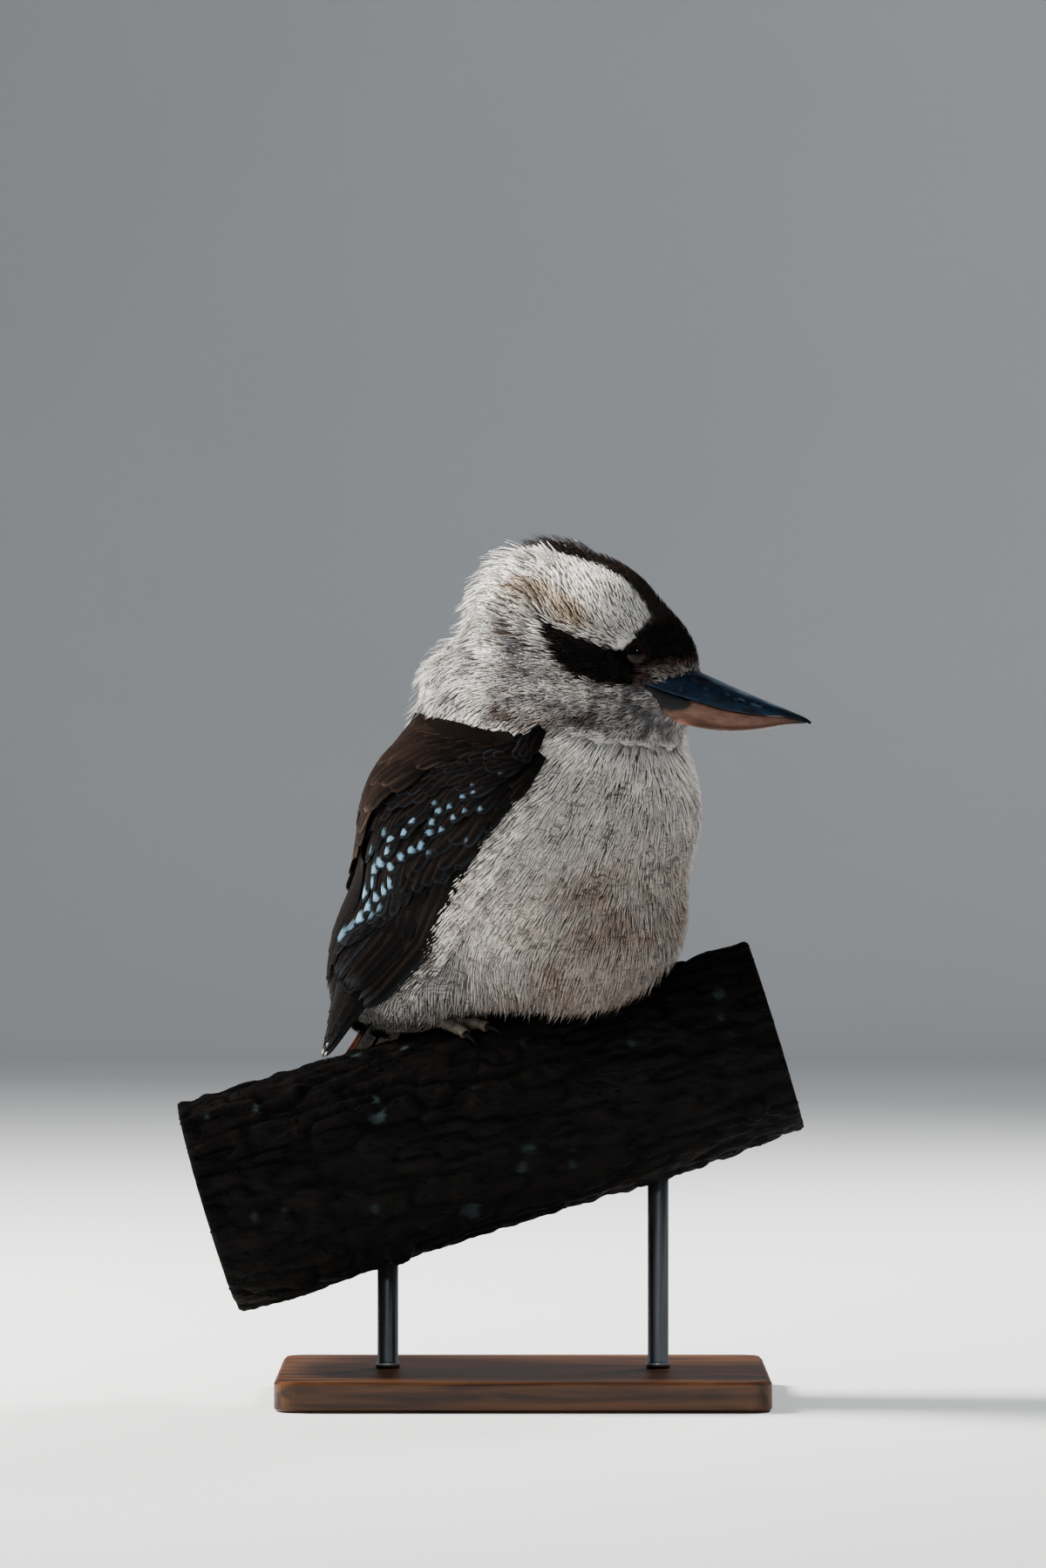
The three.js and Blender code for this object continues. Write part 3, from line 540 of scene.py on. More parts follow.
# The lie of the feathers
def flow(points, normal):
    """The direction that feathers point in, along the surface, at points near it."""
    head = in_head(points)
    from_bill = head - np.array([15.0, 0, -9])
    back = unit(from_bill + np.array([-14.0, 0, -2]))
    sweep = ramp(head[:, 2], 5, 14) * ramp(head[:, 0], -58, -40) * ramp(head[:, 0], 6, -6)
    back[:, 2] += 0.75 * sweep * ramp(np.abs(head[:, 1]), 9, 17)
    on_head = back @ HEAD_TURNED.T
    body = np.tile(FEATHER_LIE, (len(points), 1))
    body[:, 2] -= 0.9 * ramp(points[:, 2], 40, 4)
    share = ramp(head[:, 2], -52, -22) * ramp(head[:, 0], -92, -66)
    wanted = mix(body, on_head, share)
    wanted = wanted - normal * (wanted * normal).sum(1, keepdims=True)
    return unit(wanted)


def turned(vectors, normal, angle):
    """Vectors turned about normals, by an angle for each."""
    c, s = np.cos(angle)[:, None], np.sin(angle)[:, None]
    return vectors * c + np.cross(normal, vectors) * s


def tuft_faces(rings, fingers):
    """The faces of one tuft: closed fingers of three sides, each with a point at its end."""
    per_finger = 3 * rings + 1
    faces = []
    for base in range(0, fingers * per_finger, per_finger):
        for k, j in itertools.product(range(rings - 1), range(3)):
            a = base + 3 * k + j
            b = base + 3 * k + (j + 1) % 3
            faces += [(a, b + 3, b), (a, a + 3, b + 3)]
        last = base + 3 * (rings - 1)
        tip = base + per_finger - 1
        faces += [(last, tip, last + 1), (last + 1, tip, last + 2), (last + 2, tip, last)]
        faces.append((base, base + 1, base + 2))
    return np.array(faces)


def lay_feathers(roots, rng, length, width, fingers, depth, lift, splay=0.25, shape=(0.35, 1.0, 0.8),
                 thick=0.28, curl=0.0, drop=0.0, lean=0.0):
    """Feathers that lie along the plumage's outline, each split into pointed fingers.
    Gives points, faces, and for each point its feather's number, its place along it and its finger."""
    count = len(roots)
    stations = (0, 0.45, 0.8)
    stops = [*stations, 1.0]
    heights = [-depth + (depth + lift) * t**0.8 for t in stops]
    places = [project(roots, heights[0])]
    bend = rng.normal(0, 0.10, count) + curl * rng.choice([-1, 1], count) + lean
    frames = []
    for k in range(len(stops)):
        normal = normals(places[k])
        heading = turned(flow(places[k], normal), normal, bend * (0.4 + stops[k]))
        if np.any(drop):
            pull = np.asarray(drop * stops[k])[:, None] * np.array([0, 0, -1.0])
            heading = unit(heading + pull)
        frames.append((normal, heading))
        if k + 1 < len(stops):
            ahead = places[k] + heading * (length * (stops[k + 1] - stops[k]))[:, None]
            value = outline(ahead)
            wanted = heights[k + 1]
            keep = np.where(np.asarray(drop) > 0, 0.35, 1.0) if np.any(drop) else 1.0
            places.append(ahead + normal * ((wanted - value) * keep)[:, None])
    points, feather, place = [], [], []
    for finger in range(fingers):
        side = 0 if fingers == 1 else 2 * finger / (fingers - 1) - 1
        shorter = 1 - 0.16 * abs(side) - rng.uniform(0, 0.14, count)
        sway = rng.normal(0, 0.12, count)
        for k, t in enumerate(stops):
            normal, heading = frames[k]
            across = np.cross(normal, heading)
            back = heading * (length * (shorter - 1) * t)[:, None]
            spread = width / 2 * (shape[min(k, len(shape) - 1)] if k < len(stations) else shape[-1])
            offset = spread * (1 - 1 / fingers) * side * (1 + splay * t) + width * sway * t * 0.5
            centre = places[k] + back + across * offset[:, None]
            sag = (offset**2) / 90.0
            centre = centre - normal * sag[:, None]
            if k == len(stops) - 1:
                points.append(centre + normal * (0.1 * thick))
                feather.append(np.arange(count))
                place.append(np.full(count, t))
                continue
            taper = (1.15, 1.0, 0.62)[min(k, 2)]
            half = (spread / fingers * taper)[:, None]
            for shift, rise in ((-1, 0), (0, 1), (1, 0)):
                points.append(centre + across * half * shift + normal * (rise * thick * (1 - 0.5 * t)))
                feather.append(np.arange(count))
                place.append(np.full(count, t))
    points = np.stack(points, 1)
    faces = repeated(tuft_faces(len(stations), fingers), count, points.shape[1])
    feather = np.stack(feather, 1).ravel()
    place = np.stack(place, 1).ravel()
    finger = np.tile(np.repeat(np.arange(fingers), points.shape[1] // fingers), count)
    return points.reshape(-1, 3), faces[:, ::-1], feather, place, finger


# The least distance between two roots, as a share of their spacing, and the spots tried for each root
CLOSEST = 0.72
TRIES = 3.2


def scatter(surface, spacing, rng, keep):
    """Points spread evenly over a triangle surface, with a spacing for each place."""
    points, faces = surface
    a, b, c = (points[faces[:, k]] for k in range(3))
    area = np.linalg.norm(np.cross(b - a, c - a), axis=1) / 2
    middle = (a + b + c) / 3
    gap = spacing(middle)
    weight = area / gap**2 * keep(middle)
    total = int(weight.sum() * TRIES)
    chosen = rng.choice(len(faces), total, p=weight / weight.sum())
    r1, r2 = np.sqrt(rng.random(total)), rng.random(total)
    shares = (1 - r1, r1 * (1 - r2), r1 * r2)
    spots = a[chosen] * shares[0][:, None] + b[chosen] * shares[1][:, None] + c[chosen] * shares[2][:, None]
    gaps = spacing(spots)
    size = gaps.max()
    moves = list(itertools.product((-1, 0, 1), repeat=3))
    cells = {}
    kept = []
    for i, (x, y, z) in enumerate(spots):
        a, b, c = int(x // size), int(y // size), int(z // size)
        near = CLOSEST * gaps[i]
        around = (spots[j] for da, db, dc in moves for j in cells.get((a + da, b + db, c + dc), ()))
        if all((x - q[0]) ** 2 + (y - q[1]) ** 2 + (z - q[2]) ** 2 >= near * near for q in around):
            cells.setdefault((a, b, c), []).append(i)
            kept.append(i)
    return spots[kept]


# The branch
def bark_radius(s, turn):
    t = (s - PERCH_SPAN[0]) / (PERCH_SPAN[1] - PERCH_SPAN[0])
    round_it = PERCH_RADIUS[0] + (PERCH_RADIUS[1] - PERCH_RADIUS[0]) * t + PERCH_SWELL * 4 * t * (1 - t)
    lumps = 0.7 * np.sin(2 * turn + s / 37) + 0.55 * np.sin(3 * turn - s / 23 + 1)
    lumps = lumps + 0.35 * np.sin(5 * turn + s / 16)
    return round_it + lumps * (1 - 0.8 * np.exp(-((turn / 1.1) ** 2)))


def bark_point(s, turn, height):
    s, turn, height = np.broadcast_arrays(s, turn, height)
    radius = (bark_radius(s, turn) + height)[..., None]
    point = PERCH_AT + PERCH_AXIS * s[..., None] + PERCH_UP * radius * np.cos(turn)[..., None]
    point[..., 1] -= radius[..., 0] * np.sin(turn)
    return point


# The skin: balls for every form, fused on a fine grid and then moved onto the outline
def skin_surface():
    work = bmesh.new()
    for forms, matrix in ((TRUNK_FORMS, np.eye(3)), (HEAD_FORMS, HEAD_TURNED)):
        for middle, half, dip in forms:
            made = bmesh.ops.create_icosphere(work, subdivisions=4, radius=1.0)
            for vertex in made["verts"]:
                local = turn_y(dip) @ (np.array(vertex.co) * (np.array(half) * 0.97))
                place = local + np.array(middle, float)
                if matrix is HEAD_TURNED:
                    place = from_head(place)
                vertex.co = Vector(place)
    mesh = bpy.data.meshes.new("skin")
    work.to_mesh(mesh)
    work.free()
    ball = bpy.data.objects.new("skin", mesh)
    bpy.context.scene.collection.objects.link(ball)
    remesh = ball.modifiers.new("fuse", "REMESH")
    remesh.mode = "VOXEL"
    remesh.voxel_size = SKIN_GRID
    fused = ball.evaluated_get(bpy.context.evaluated_depsgraph_get()).to_mesh()
    fused.calc_loop_triangles()
    points = np.empty(len(fused.vertices) * 3, np.float32)
    fused.vertices.foreach_get("co", points)
    faces = np.empty(len(fused.loop_triangles) * 3, np.int32)
    fused.loop_triangles.foreach_get("vertices", faces)
    bpy.data.objects.remove(ball)
    points = points.reshape(-1, 3).astype(float)
    return project(points, np.zeros(len(points)), 6), faces.reshape(-1, 3)


def clear_of_bark(points, margin):
    """Body points, with those inside the branch moved straight out to its bark."""
    q = from_body(points) - PERCH_AT
    s, up, over = q @ PERCH_AXIS, q @ PERCH_UP, -q[:, 1]
    turn = np.arctan2(over, up)
    away = np.hypot(up, over)
    wanted = np.maximum(away, bark_radius(s, turn) + margin)
    moved = PERCH_AXIS * s[:, None] + PERCH_UP * (wanted * np.cos(turn))[:, None]
    moved[:, 1] -= wanted * np.sin(turn)
    near = (s > PERCH_SPAN[0]) & (s < PERCH_SPAN[1]) & (up > -10)
    return np.where(near[:, None], to_body(moved + PERCH_AT), points)


def coat_depth(points):
    x, _, z = in_head(points).T
    face = ramp(x, -60, -20) * ramp(z, -50, -25)
    return COAT_DEPTH * (1 - face) + FACE_DEPTH * face


skin_points, skin_faces = skin_surface()
skin_inner = clear_of_bark(project(skin_points, -coat_depth(skin_points), 3), 0.3)
skin_tone, _, skin_ticks, _ = markings(skin_points)


# The wing's sheet: a point at a distance along, an angle and a height over the trunk
REACH_STEP = 2.5
REACH_TURN = 3.0
REACH_U = np.arange(-100, 121, REACH_STEP)
REACH_ANGLE = np.arange(-36, 103, REACH_TURN)


def measure_wing_reach():
    u, angle = (v.ravel() for v in np.meshgrid(REACH_U, REACH_ANGLE, indexing="ij"))
    a = np.radians(angle)
    still = np.zeros(len(a))
    direction = np.stack([still, -np.cos(a), still], 1) + WING_OUT * np.sin(a)[:, None]
    middles = WING_MIDDLE + WING_ALONG * u[:, None]
    trunk = reach(middles, direction, 120)
    trunk[outline(middles) > 0] = 0
    free = 1 / np.sqrt((np.cos(a) / along(WING_SIDE, u)) ** 2 + (np.sin(a) / along(WING_BACK, u)) ** 2)
    return (-blend(-trunk, -free, 10)).reshape(len(REACH_U), len(REACH_ANGLE))


REACH_GRID = measure_wing_reach()


def wing_reach(u, angle):
    i = np.clip((u - REACH_U[0]) / REACH_STEP, 0, len(REACH_U) - 1.001)
    j = np.clip((angle - REACH_ANGLE[0]) / REACH_TURN, 0, len(REACH_ANGLE) - 1.001)
    i0, j0 = i.astype(int), j.astype(int)
    fi, fj = i - i0, j - j0
    low = REACH_GRID[i0, j0] * (1 - fj) + REACH_GRID[i0, j0 + 1] * fj
    high = REACH_GRID[i0 + 1, j0] * (1 - fj) + REACH_GRID[i0 + 1, j0 + 1] * fj
    return low * (1 - fi) + high * fi


def wing_point(u, angle, height, side):
    a = np.radians(angle)
    radius = wing_reach(u, angle) + height
    point = WING_MIDDLE + WING_ALONG * u[..., None] + WING_OUT * (radius * np.sin(a))[..., None]
    point[..., 1] = -side * radius * np.cos(a)
    return point


VANE_STATIONS = np.array([0, 0.15, 0.3, 0.45, 0.6, 0.72, 0.82, 0.89, 0.94, 0.97, 0.99, 1.0])
VANE_SHAPE = np.array([0.6, 0.8, 0.94, 1.0, 1.0, 0.98, 0.92, 0.82, 0.67, 0.5, 0.3, 0.1])
COVERT_STATIONS = np.array([0, 0.3, 0.52, 0.66, 0.75, 0.82, 0.88, 0.925, 0.96, 0.985, 1.0])
COVERT_SHAPE = np.array([0.6, 0.9, 1.0, 1.0, 0.97, 0.92, 0.83, 0.72, 0.55, 0.36, 0.12])
# Places across a vane, closer together at its shaft and its edges
ACROSS = np.array([-1, -0.85, -0.55, -0.25, -0.06, 0.06, 0.25, 0.55, 0.85, 1.0])


def vane_sheet(place, count, stations, shape):
    """Closed vanes. place(t, half, w) gives the top and the point under it for every feather at once."""
    rows = []
    for t, size in zip(stations, shape):
        top = [place(t, w * size, w)[0] for w in ACROSS]
        under = [place(t, w * size, w)[1] for w in ACROSS[::-1]]
        rows.append(np.stack(top + under, 1))
    points = np.stack(rows, 1)
    ring = 2 * len(ACROSS)
    size = len(stations) * ring
    faces = repeated(flat_faces(len(stations), len(ACROSS)), count, size)
    place_t = np.tile(np.repeat(stations, ring), count)
    place_w = np.tile(np.tile(np.concatenate([ACROSS, ACROSS[::-1]]), len(stations)), count)
    feather = np.repeat(np.arange(count), size)
    return points.reshape(-1, 3), faces, feather, place_t, place_w


def wing_tier(side, rng, count, root, tip, across, width, rise, big):
    """One tier of wing feathers. Root and tip are distances along, and across runs from the low edge (0)
    to the back edge (1), for the first and the last feather. Rise is the height at its root and tip."""
    lift, thick, jitter = 0.8, 0.3, 1.8
    t = np.linspace(0, 1, count)
    root_u = np.interp(t, [0, 1], root) + rng.uniform(-jitter, jitter, count)
    tip_u = np.interp(t, [0, 1], tip) + rng.uniform(-jitter, jitter, count)
    share = np.interp(t, [0, 1], across) + rng.normal(0, 0.010, count)
    wide = width * rng.uniform(0.9, 1.08, count)
    twist = rng.normal(0, 0.3, count)
    sway = rng.normal(0, 1.6, count)
    phase = rng.uniform(0, 6.3, count)

    def place(s, w_size, w):
        ragged = (0.022 * np.sin(w * 7 + phase) + 0.016 * np.sin(w * 19 + 2 * phase)) * s**5
        u = root_u + (tip_u - root_u) * (s + ragged)
        low, high = along(WING_LOW, u), along(WING_HIGH, u)
        angle = low + (high - low) * share + sway * s * s
        half = np.degrees(wide * w_size / 2 / (wing_reach(u, angle) + 3))
        height = rise[0] + (rise[1] - rise[0]) * math.sqrt(s) + lift * (1 - w) / 2
        height = height + 0.55 * (1 - w * w) + twist * w * s + 0.12 * np.sin(w * 9 + phase) * s
        turned_out = angle + half
        return wing_point(u, turned_out, height, side), wing_point(u, turned_out, height - thick, side)

    stations, shape = (VANE_STATIONS, VANE_SHAPE) if big else (COVERT_STATIONS, COVERT_SHAPE)
    return vane_sheet(place, count, stations, shape)


def join_sets(sets):
    """Joins (points, faces, feather, along, across) sets into one, with the feathers numbered on."""
    points, faces, feather, place_t, place_w = [], [], [], [], []
    start, number = 0, 0
    for p, f, n, t, w in sets:
        points.append(p)
        faces.append(f + start)
        feather.append(n + number)
        place_t.append(t)
        place_w.append(w)
        start += len(p)
        number += n.max() + 1
    return tuple(np.concatenate(part) for part in (points, faces, feather, place_t, place_w))


# Name, count, root, tip, across, width, rise, and whether its feathers are long vanes
WING_TIERS = [
    ("primaries", 9, (30, 36), (106, 80), (0.10, 0.55), 13, (0.8, 1.4), True),
    ("secondaries", 13, (-40, 22), (66, 68), (0.03, 0.76), 13, (1.3, 2.5), True),
    ("tertials", 5, (14, -4), (74, 44), (0.62, 0.95), 17, (3.4, 3.2), True),
    ("greater low", 15, (-46, 36), (-22, 66), (0.04, 0.52), 11.5, (2.2, 3.4), False),
    ("greater high", 14, (-58, 26), (-36, 56), (0.06, 0.50), 10.5, (2.5, 3.7), False),
    ("median low", 14, (-74, 16), (-52, 40), (0.12, 0.46), 9.5, (2.6, 3.9), False),
    ("median high", 14, (-80, 4), (-62, 28), (0.17, 0.49), 9, (2.8, 4.1), False),
    ("lesser low", 14, (-84, -8), (-70, 14), (0.20, 0.53), 8.5, (2.8, 4.2), False),
    ("lesser middle", 13, (-87, -18), (-76, 2), (0.23, 0.56), 8.5, (2.8, 4.3), False),
    ("lesser high", 13, (-90, -28), (-81, -9), (0.26, 0.59), 8.5, (2.6, 4.4), False),
    ("lesser top", 13, (-93, -38), (-85, -20), (0.28, 0.62), 8.5, (2.0, 4.4), False),
    ("lesser edge", 12, (-96, -48), (-88, -30), (0.30, 0.66), 8.5, (1.2, 4.4), False),
    ("marginal", 11, (-88, -30), (-72, -10), (0.02, 0.05), 9, (1.6, 2.9), False),
    ("scapulars 1", 8, (-24, 10), (6, 42), (0.60, 0.96), 14, (4.6, 6.4), False),
    ("scapulars 2", 9, (-38, -4), (-12, 24), (0.58, 0.98), 13, (4.6, 6.6), False),
    ("scapulars 3", 10, (-52, -18), (-28, 8), (0.57, 0.98), 12, (3.9, 6.2), False),
    ("scapulars 4", 10, (-64, -32), (-42, -8), (0.55, 0.99), 11.5, (3.0, 5.2), False),
    ("scapulars 5", 10, (-76, -46), (-56, -24), (0.52, 0.99), 11, (1.0, 3.6), False),
    ("scapulars 6", 9, (-88, -58), (-70, -38), (0.48, 0.99), 10.5, (-0.4, 2.0), False),
]


def wing_core(side):
    """The wing's flesh and down under its feathers, from the bend to where the quills come free."""
    steps, columns = 22, 17
    rows = []
    for t in np.linspace(0, 1, steps):
        u = -86 + 148 * t
        narrow = math.sin(min(1, t * 4 + 0.35) * math.pi / 2)
        low, high = along(WING_LOW, u), along(WING_HIGH, u)
        middle, half = (low + high) / 2, (high - low) / 2 * narrow
        thick = (2.4 - 2.0 * t) * math.sin(min(1, t * 3 + 0.3) * math.pi / 2)
        w = np.linspace(-1, 1, columns)
        angle = middle + half * w
        crown = np.sqrt(np.maximum(0, 1 - w**4))
        at = np.full(columns, u)
        top = wing_point(at, angle, 0.2 + thick * crown, side)
        under = wing_point(at, angle, np.full(columns, -0.6), side)[::-1]
        rows.append(np.concatenate([top, under]))
    return np.concatenate(rows), flat_faces(steps, columns)


def make_wing(side, name):
    rng = np.random.default_rng(21)
    sets, kind, order = [], [], []
    for tier, count, root, tip, across, width, rise, big in WING_TIERS:
        sets.append(wing_tier(side, rng, count, root, tip, across, width, rise, big))
        kind += [tier] * count
        order += list(np.linspace(0, 1, count))
    core_points, core_faces = wing_core(side)
    blank = np.zeros(len(core_points))
    core = (core_points, core_faces, blank.astype(int), blank + 0.3, blank)
    points, faces, feather, t, w = join_sets(sets + [core])
    kind = np.array(kind + ["core"])[feather]
    order = np.array(order + [0.0])[feather]
    family = np.array([word.split()[0] for word in kind])
    base = np.random.default_rng(22).uniform(-1, 1, feather.max() + 1)[feather]
    u, angle = wing_frame(points)

    # Near-black feathers, brown towards the back, each with a fine shaft and lighter edges
    brown = np.where(family == "scapulars", 1.0, 0.25) * ramp(angle, 20, 55)
    tone = mix(np.tile(WING_DARK, (len(points), 1)), colour(34, 26, 22), brown)
    tone = tone * (1 + 0.28 * base)[:, None]
    edge = np.maximum(ramp(np.abs(w), 0.6, 1.0) * ramp(t, 0.3, 0.7), ramp(t, 0.9, 1.0))
    rim = np.where((family == "scapulars")[:, None], colour(96, 78, 66), colour(52, 57, 63))
    tone = mix(tone, rim, edge * (0.36 + 0.24 * base))
    tone = over(tone, colour(48, 38, 32), 0.4 * ramp(np.abs(w), 0.16, 0.04) * ramp(t, 0.2, 0.5))

    # Pale blue spots near the coverts' tips, long and bright at the back, small and faint in front
    size = 0.12 + 0.88 * order
    middle = 0.90 - 0.05 * size
    away = np.hypot((t - middle) / (0.04 + 0.07 * size), (w - 0.15 * base) / (0.22 + 0.42 * size))
    spot = ramp(away + 0.3 * noise(points * 0.7, 7), 1.2, 0.7)
    chance = {"median low": -0.75, "median high": -0.45, "lesser low": 0.35, "greater high": 0.45}
    shown = np.zeros(len(points))
    for tier, limit in chance.items():
        strength = 1.0 if tier.startswith("median") else 0.45
        shown = np.where(kind == tier, (base > limit) * strength, shown)
    tone = mix(tone, BLUE, spot * shown * (0.35 + 0.6 * size))
    tone = over(tone, WHITE, 0.8 * (family == "primaries") * ramp(t, 0.16, 0.08))
    tone = over(tone, WHITE, 0.5 * (family == "primaries") * (order < 0.2) * ramp(t, 0.975, 0.995))
    long_ones = np.isin(family, ["primaries", "secondaries", "tertials"])
    barb = t * np.where(long_ones, 58.0, 28.0) + np.abs(w) * 6
    piece = mesh_piece(name, from_body(points), faces, barb=barb, tone=tone)
    places = np.stack([0.05 + 0.9 * (u + 100) / 220, 0.05 + 0.9 * (angle + 40) / 140], 1)
    bake_map(piece, np.clip(places, 0, 1))
    return piece


# The tail, in its own frame: out along it, sideways, and up from its upper side
def tail_point(u, y, z):
    u, y, z = np.broadcast_arrays(u, y, z)
    point = TAIL_AT + TAIL_OUT * u[..., None] + TAIL_TOP * z[..., None]
    point[..., 1] += y
    return point


def make_tail():
    rng = np.random.default_rng(31)
    pairs = 6
    number = np.tile(np.arange(pairs), 2)
    side = np.repeat([-1, 1], pairs)
    share = (number + 0.5) / pairs
    length = TAIL_LENGTH - 5 * share**2 - rng.uniform(0, 2, 2 * pairs)
    stations = np.concatenate([np.linspace(0, 0.92, 64), [0.945, 0.965, 0.982, 0.993, 1.0]])
    shape = np.concatenate([np.linspace(0.5, 1.0, 32), np.ones(32), [0.98, 0.93, 0.8, 0.56, 0.16]])

    def place(t, w_size, w):
        u = TAIL_ROOT + (length - TAIL_ROOT) * t
        y = side * (6 + 5 * math.sqrt(t)) * share * 1.04
        half = 16.5 / 2 * w_size * side
        z = -1.0 * number - 0.012 * y**2 - 4 * t * t + 0.5 * (1 - w * w) - 0.5 * w
        z = z + 0.35 * np.sin(t * 5 + number)
        return tail_point(u, y + half, z), tail_point(u, y + half, z - 0.5)

    points, faces, feather, t, w = vane_sheet(place, 2 * pairs, stations, shape)
    u = TAIL_ROOT + (length[feather] - TAIL_ROOT) * t
    out = length[feather] - u
    outer = share[feather]
    wave = np.sin((u + 2.2 * np.abs(w) + 2.0 * outer) / 2.9 + 0.6 * noise(points / 8, 5))
    bar = ramp(wave, 0.05, 0.45)
    tone = mix(np.tile(RUFOUS, (len(points), 1)), BLACK * 1.4, bar)
    white = ramp(out + 1.5 * np.abs(w), 21 + 8 * outer, 15 + 8 * outer)
    tip = mix(np.tile(WHITE, (len(points), 1)), DARK, 0.9 * ramp(wave, 0.7, 0.95) * (out > 9))
    tone = mix(tone, tip, white)
    piece = mesh_piece("tail_feathers", from_body(points), faces, barb=u + np.abs(w) * 6, tone=tone)
    bake_map(piece, np.clip(np.stack([(points[:, 1] + 30) / 60, (u + 30) / 190], 1), 0, 1))
    return piece


# Materials. Each new node stands this far to the right of the last one
NODE_STEP = 180
MIDDLE_GREY = (0.5, 0.5, 0.5, 1)


def feed(tree, made, inputs):
    """Gives each of a node's inputs a value, or a link from another node's socket."""
    for key, value in inputs.items():
        if isinstance(value, bpy.types.NodeSocket):
            tree.links.new(value, made.inputs[key])
        else:
            made.inputs[key].default_value = value


def node(tree, kind, inputs=None, **values):
    """A new node, to the right of the last one."""
    made = tree.nodes.new(kind)
    made.location = (NODE_STEP * len(tree.nodes), 0)
    for key, value in values.items():
        setattr(made, key, value)
    feed(tree, made, inputs or {})
    return made


def tone_times(tree, tone, gain):
    """A tone made lighter or darker by a factor."""
    return node(tree, "ShaderNodeVectorMath", {0: tone, "Scale": gain}, operation="SCALE").outputs[0]


def stretched(tree, place, scale):
    """A place with its axes stretched, each by its own factor."""
    return node(tree, "ShaderNodeVectorMath", {0: place, 1: scale}, operation="MULTIPLY").outputs[0]


def point_value(tree, name, output="Color"):
    """An attribute of the piece's points."""
    return node(tree, "ShaderNodeAttribute", attribute_name=name).outputs[output]


def object_place(tree, **lie):
    """Object coordinates, turned and stretched where a lie is given."""
    place = node(tree, "ShaderNodeTexCoord").outputs["Object"]
    if lie:
        place = node(tree, "ShaderNodeMapping", {"Vector": place, **lie}).outputs[0]
    return place


def noise_at(tree, place, **values):
    return node(tree, "ShaderNodeTexNoise", {"Vector": place, **values}).outputs["Fac"]


def share_between(tree, value, start, end):
    """A share that goes from 0 to 1 as a value goes from start to end."""
    inputs = {"Value": value, "From Min": start, "From Max": end}
    return node(tree, "ShaderNodeMapRange", inputs).outputs[0]


def two_tones(tree, share, low, high, start=0, end=1):
    """A blend of two tones, by a share."""
    made = node(tree, "ShaderNodeValToRGB", {"Fac": share})
    for stop, place, tone in zip(made.color_ramp.elements, (start, end), (low, high)):
        stop.position = place
        stop.color = (*tone, 1)
    return made.outputs["Color"]


def bumps(tree, height, strength, distance):
    """The normals of a bumpy surface."""
    inputs = {"Height": height, "Strength": strength, "Distance": distance}
    return node(tree, "ShaderNodeBump", inputs).outputs["Normal"]


def shader_group(name, inputs, outputs):
    """A node group. Its inputs are colours, vectors or numbers, as their first values are."""
    group = bpy.data.node_groups.new(name, "ShaderNodeTree")
    for label, value in inputs.items():
        kind = {4: "NodeSocketColor", 3: "NodeSocketVector"}.get(np.size(value), "NodeSocketFloat")
        socket = group.interface.new_socket(name=label, in_out="INPUT", socket_type=kind)
        socket.default_value = value
    for label in outputs:
        kind = "NodeSocketColor" if label == "Color" else "NodeSocketFloat"
        group.interface.new_socket(name=label, in_out="OUTPUT", socket_type=kind)
    return group, node(group, "NodeGroupInput"), node(group, "NodeGroupOutput")


def math_node(tree, operation, *terms):
    return node(tree, "ShaderNodeMath", dict(enumerate(terms)), operation=operation).outputs[0]


def feather_detail():
    """Fine uneven tone, barbs and roughness over a feather's own colour."""
    group, given, out = shader_group(
        "FeatherDetail",
        {"Tone": MIDDLE_GREY, "Barb": 0.0, "Speck Scale": 900.0, "Unevenness": 0.2, "Barb Pitch": 6.0,
         "Dullness": 0.8},
        ("Color", "Roughness", "Height"),
    )
    place = object_place(group)
    speck = noise_at(group, place, Scale=given.outputs["Speck Scale"], Detail=3)
    broad = noise_at(group, place, Scale=60)
    centred = math_node(group, "SUBTRACT", math_node(group, "ADD", speck, broad), 1.0)
    swing = math_node(group, "MULTIPLY", centred, given.outputs["Unevenness"])
    gain = math_node(group, "MULTIPLY_ADD", swing, 2.0, 1.0)
    wave = math_node(group, "MULTIPLY", given.outputs["Barb"], given.outputs["Barb Pitch"])
    feed(group, out, {
        "Color": tone_times(group, given.outputs["Tone"], gain),
        "Roughness": math_node(group, "MULTIPLY_ADD", centred, 0.25, given.outputs["Dullness"]),
        "Height": math_node(group, "MULTIPLY_ADD", math_node(group, "SINE", wave), 0.4, speck),
    })
    return group


def wavy_ticks():
    """Fine broken wavy lines across the plumage, darker than it, by a strength."""
    group, given, out = shader_group(
        "WavyTicks", {"Tone": MIDDLE_GREY, "Strength": 0.5, "Scale": 75.0, "Lines": 7.0}, ("Color",)
    )
    place = object_place(group)
    flat = stretched(group, place, (1, 1, 2.3))
    hills = noise_at(group, flat, Scale=given.outputs["Scale"], Detail=1.5)
    part = math_node(group, "FRACT", math_node(group, "MULTIPLY", hills, given.outputs["Lines"]))
    away = math_node(group, "ABSOLUTE", math_node(group, "SUBTRACT", part, 0.5))
    line = share_between(group, away, 0.19, 0.06)
    shown = share_between(group, noise_at(group, place, Scale=170), 0.44, 0.56)
    mask = math_node(group, "MULTIPLY", line, shown)
    left = math_node(group, "SUBTRACT", 1.0, math_node(group, "MULTIPLY", mask, given.outputs["Strength"]))
    feed(group, out, {"Color": tone_times(group, given.outputs["Tone"], left)})
    return group


FEATHER_DETAIL = feather_detail()
WAVY_TICKS = wavy_ticks()


def new_material(name):
    material = bpy.data.materials.new(name)
    material.use_nodes = True
    tree = material.node_tree
    shader = tree.nodes["Principled BSDF"]
    return material, tree, shader


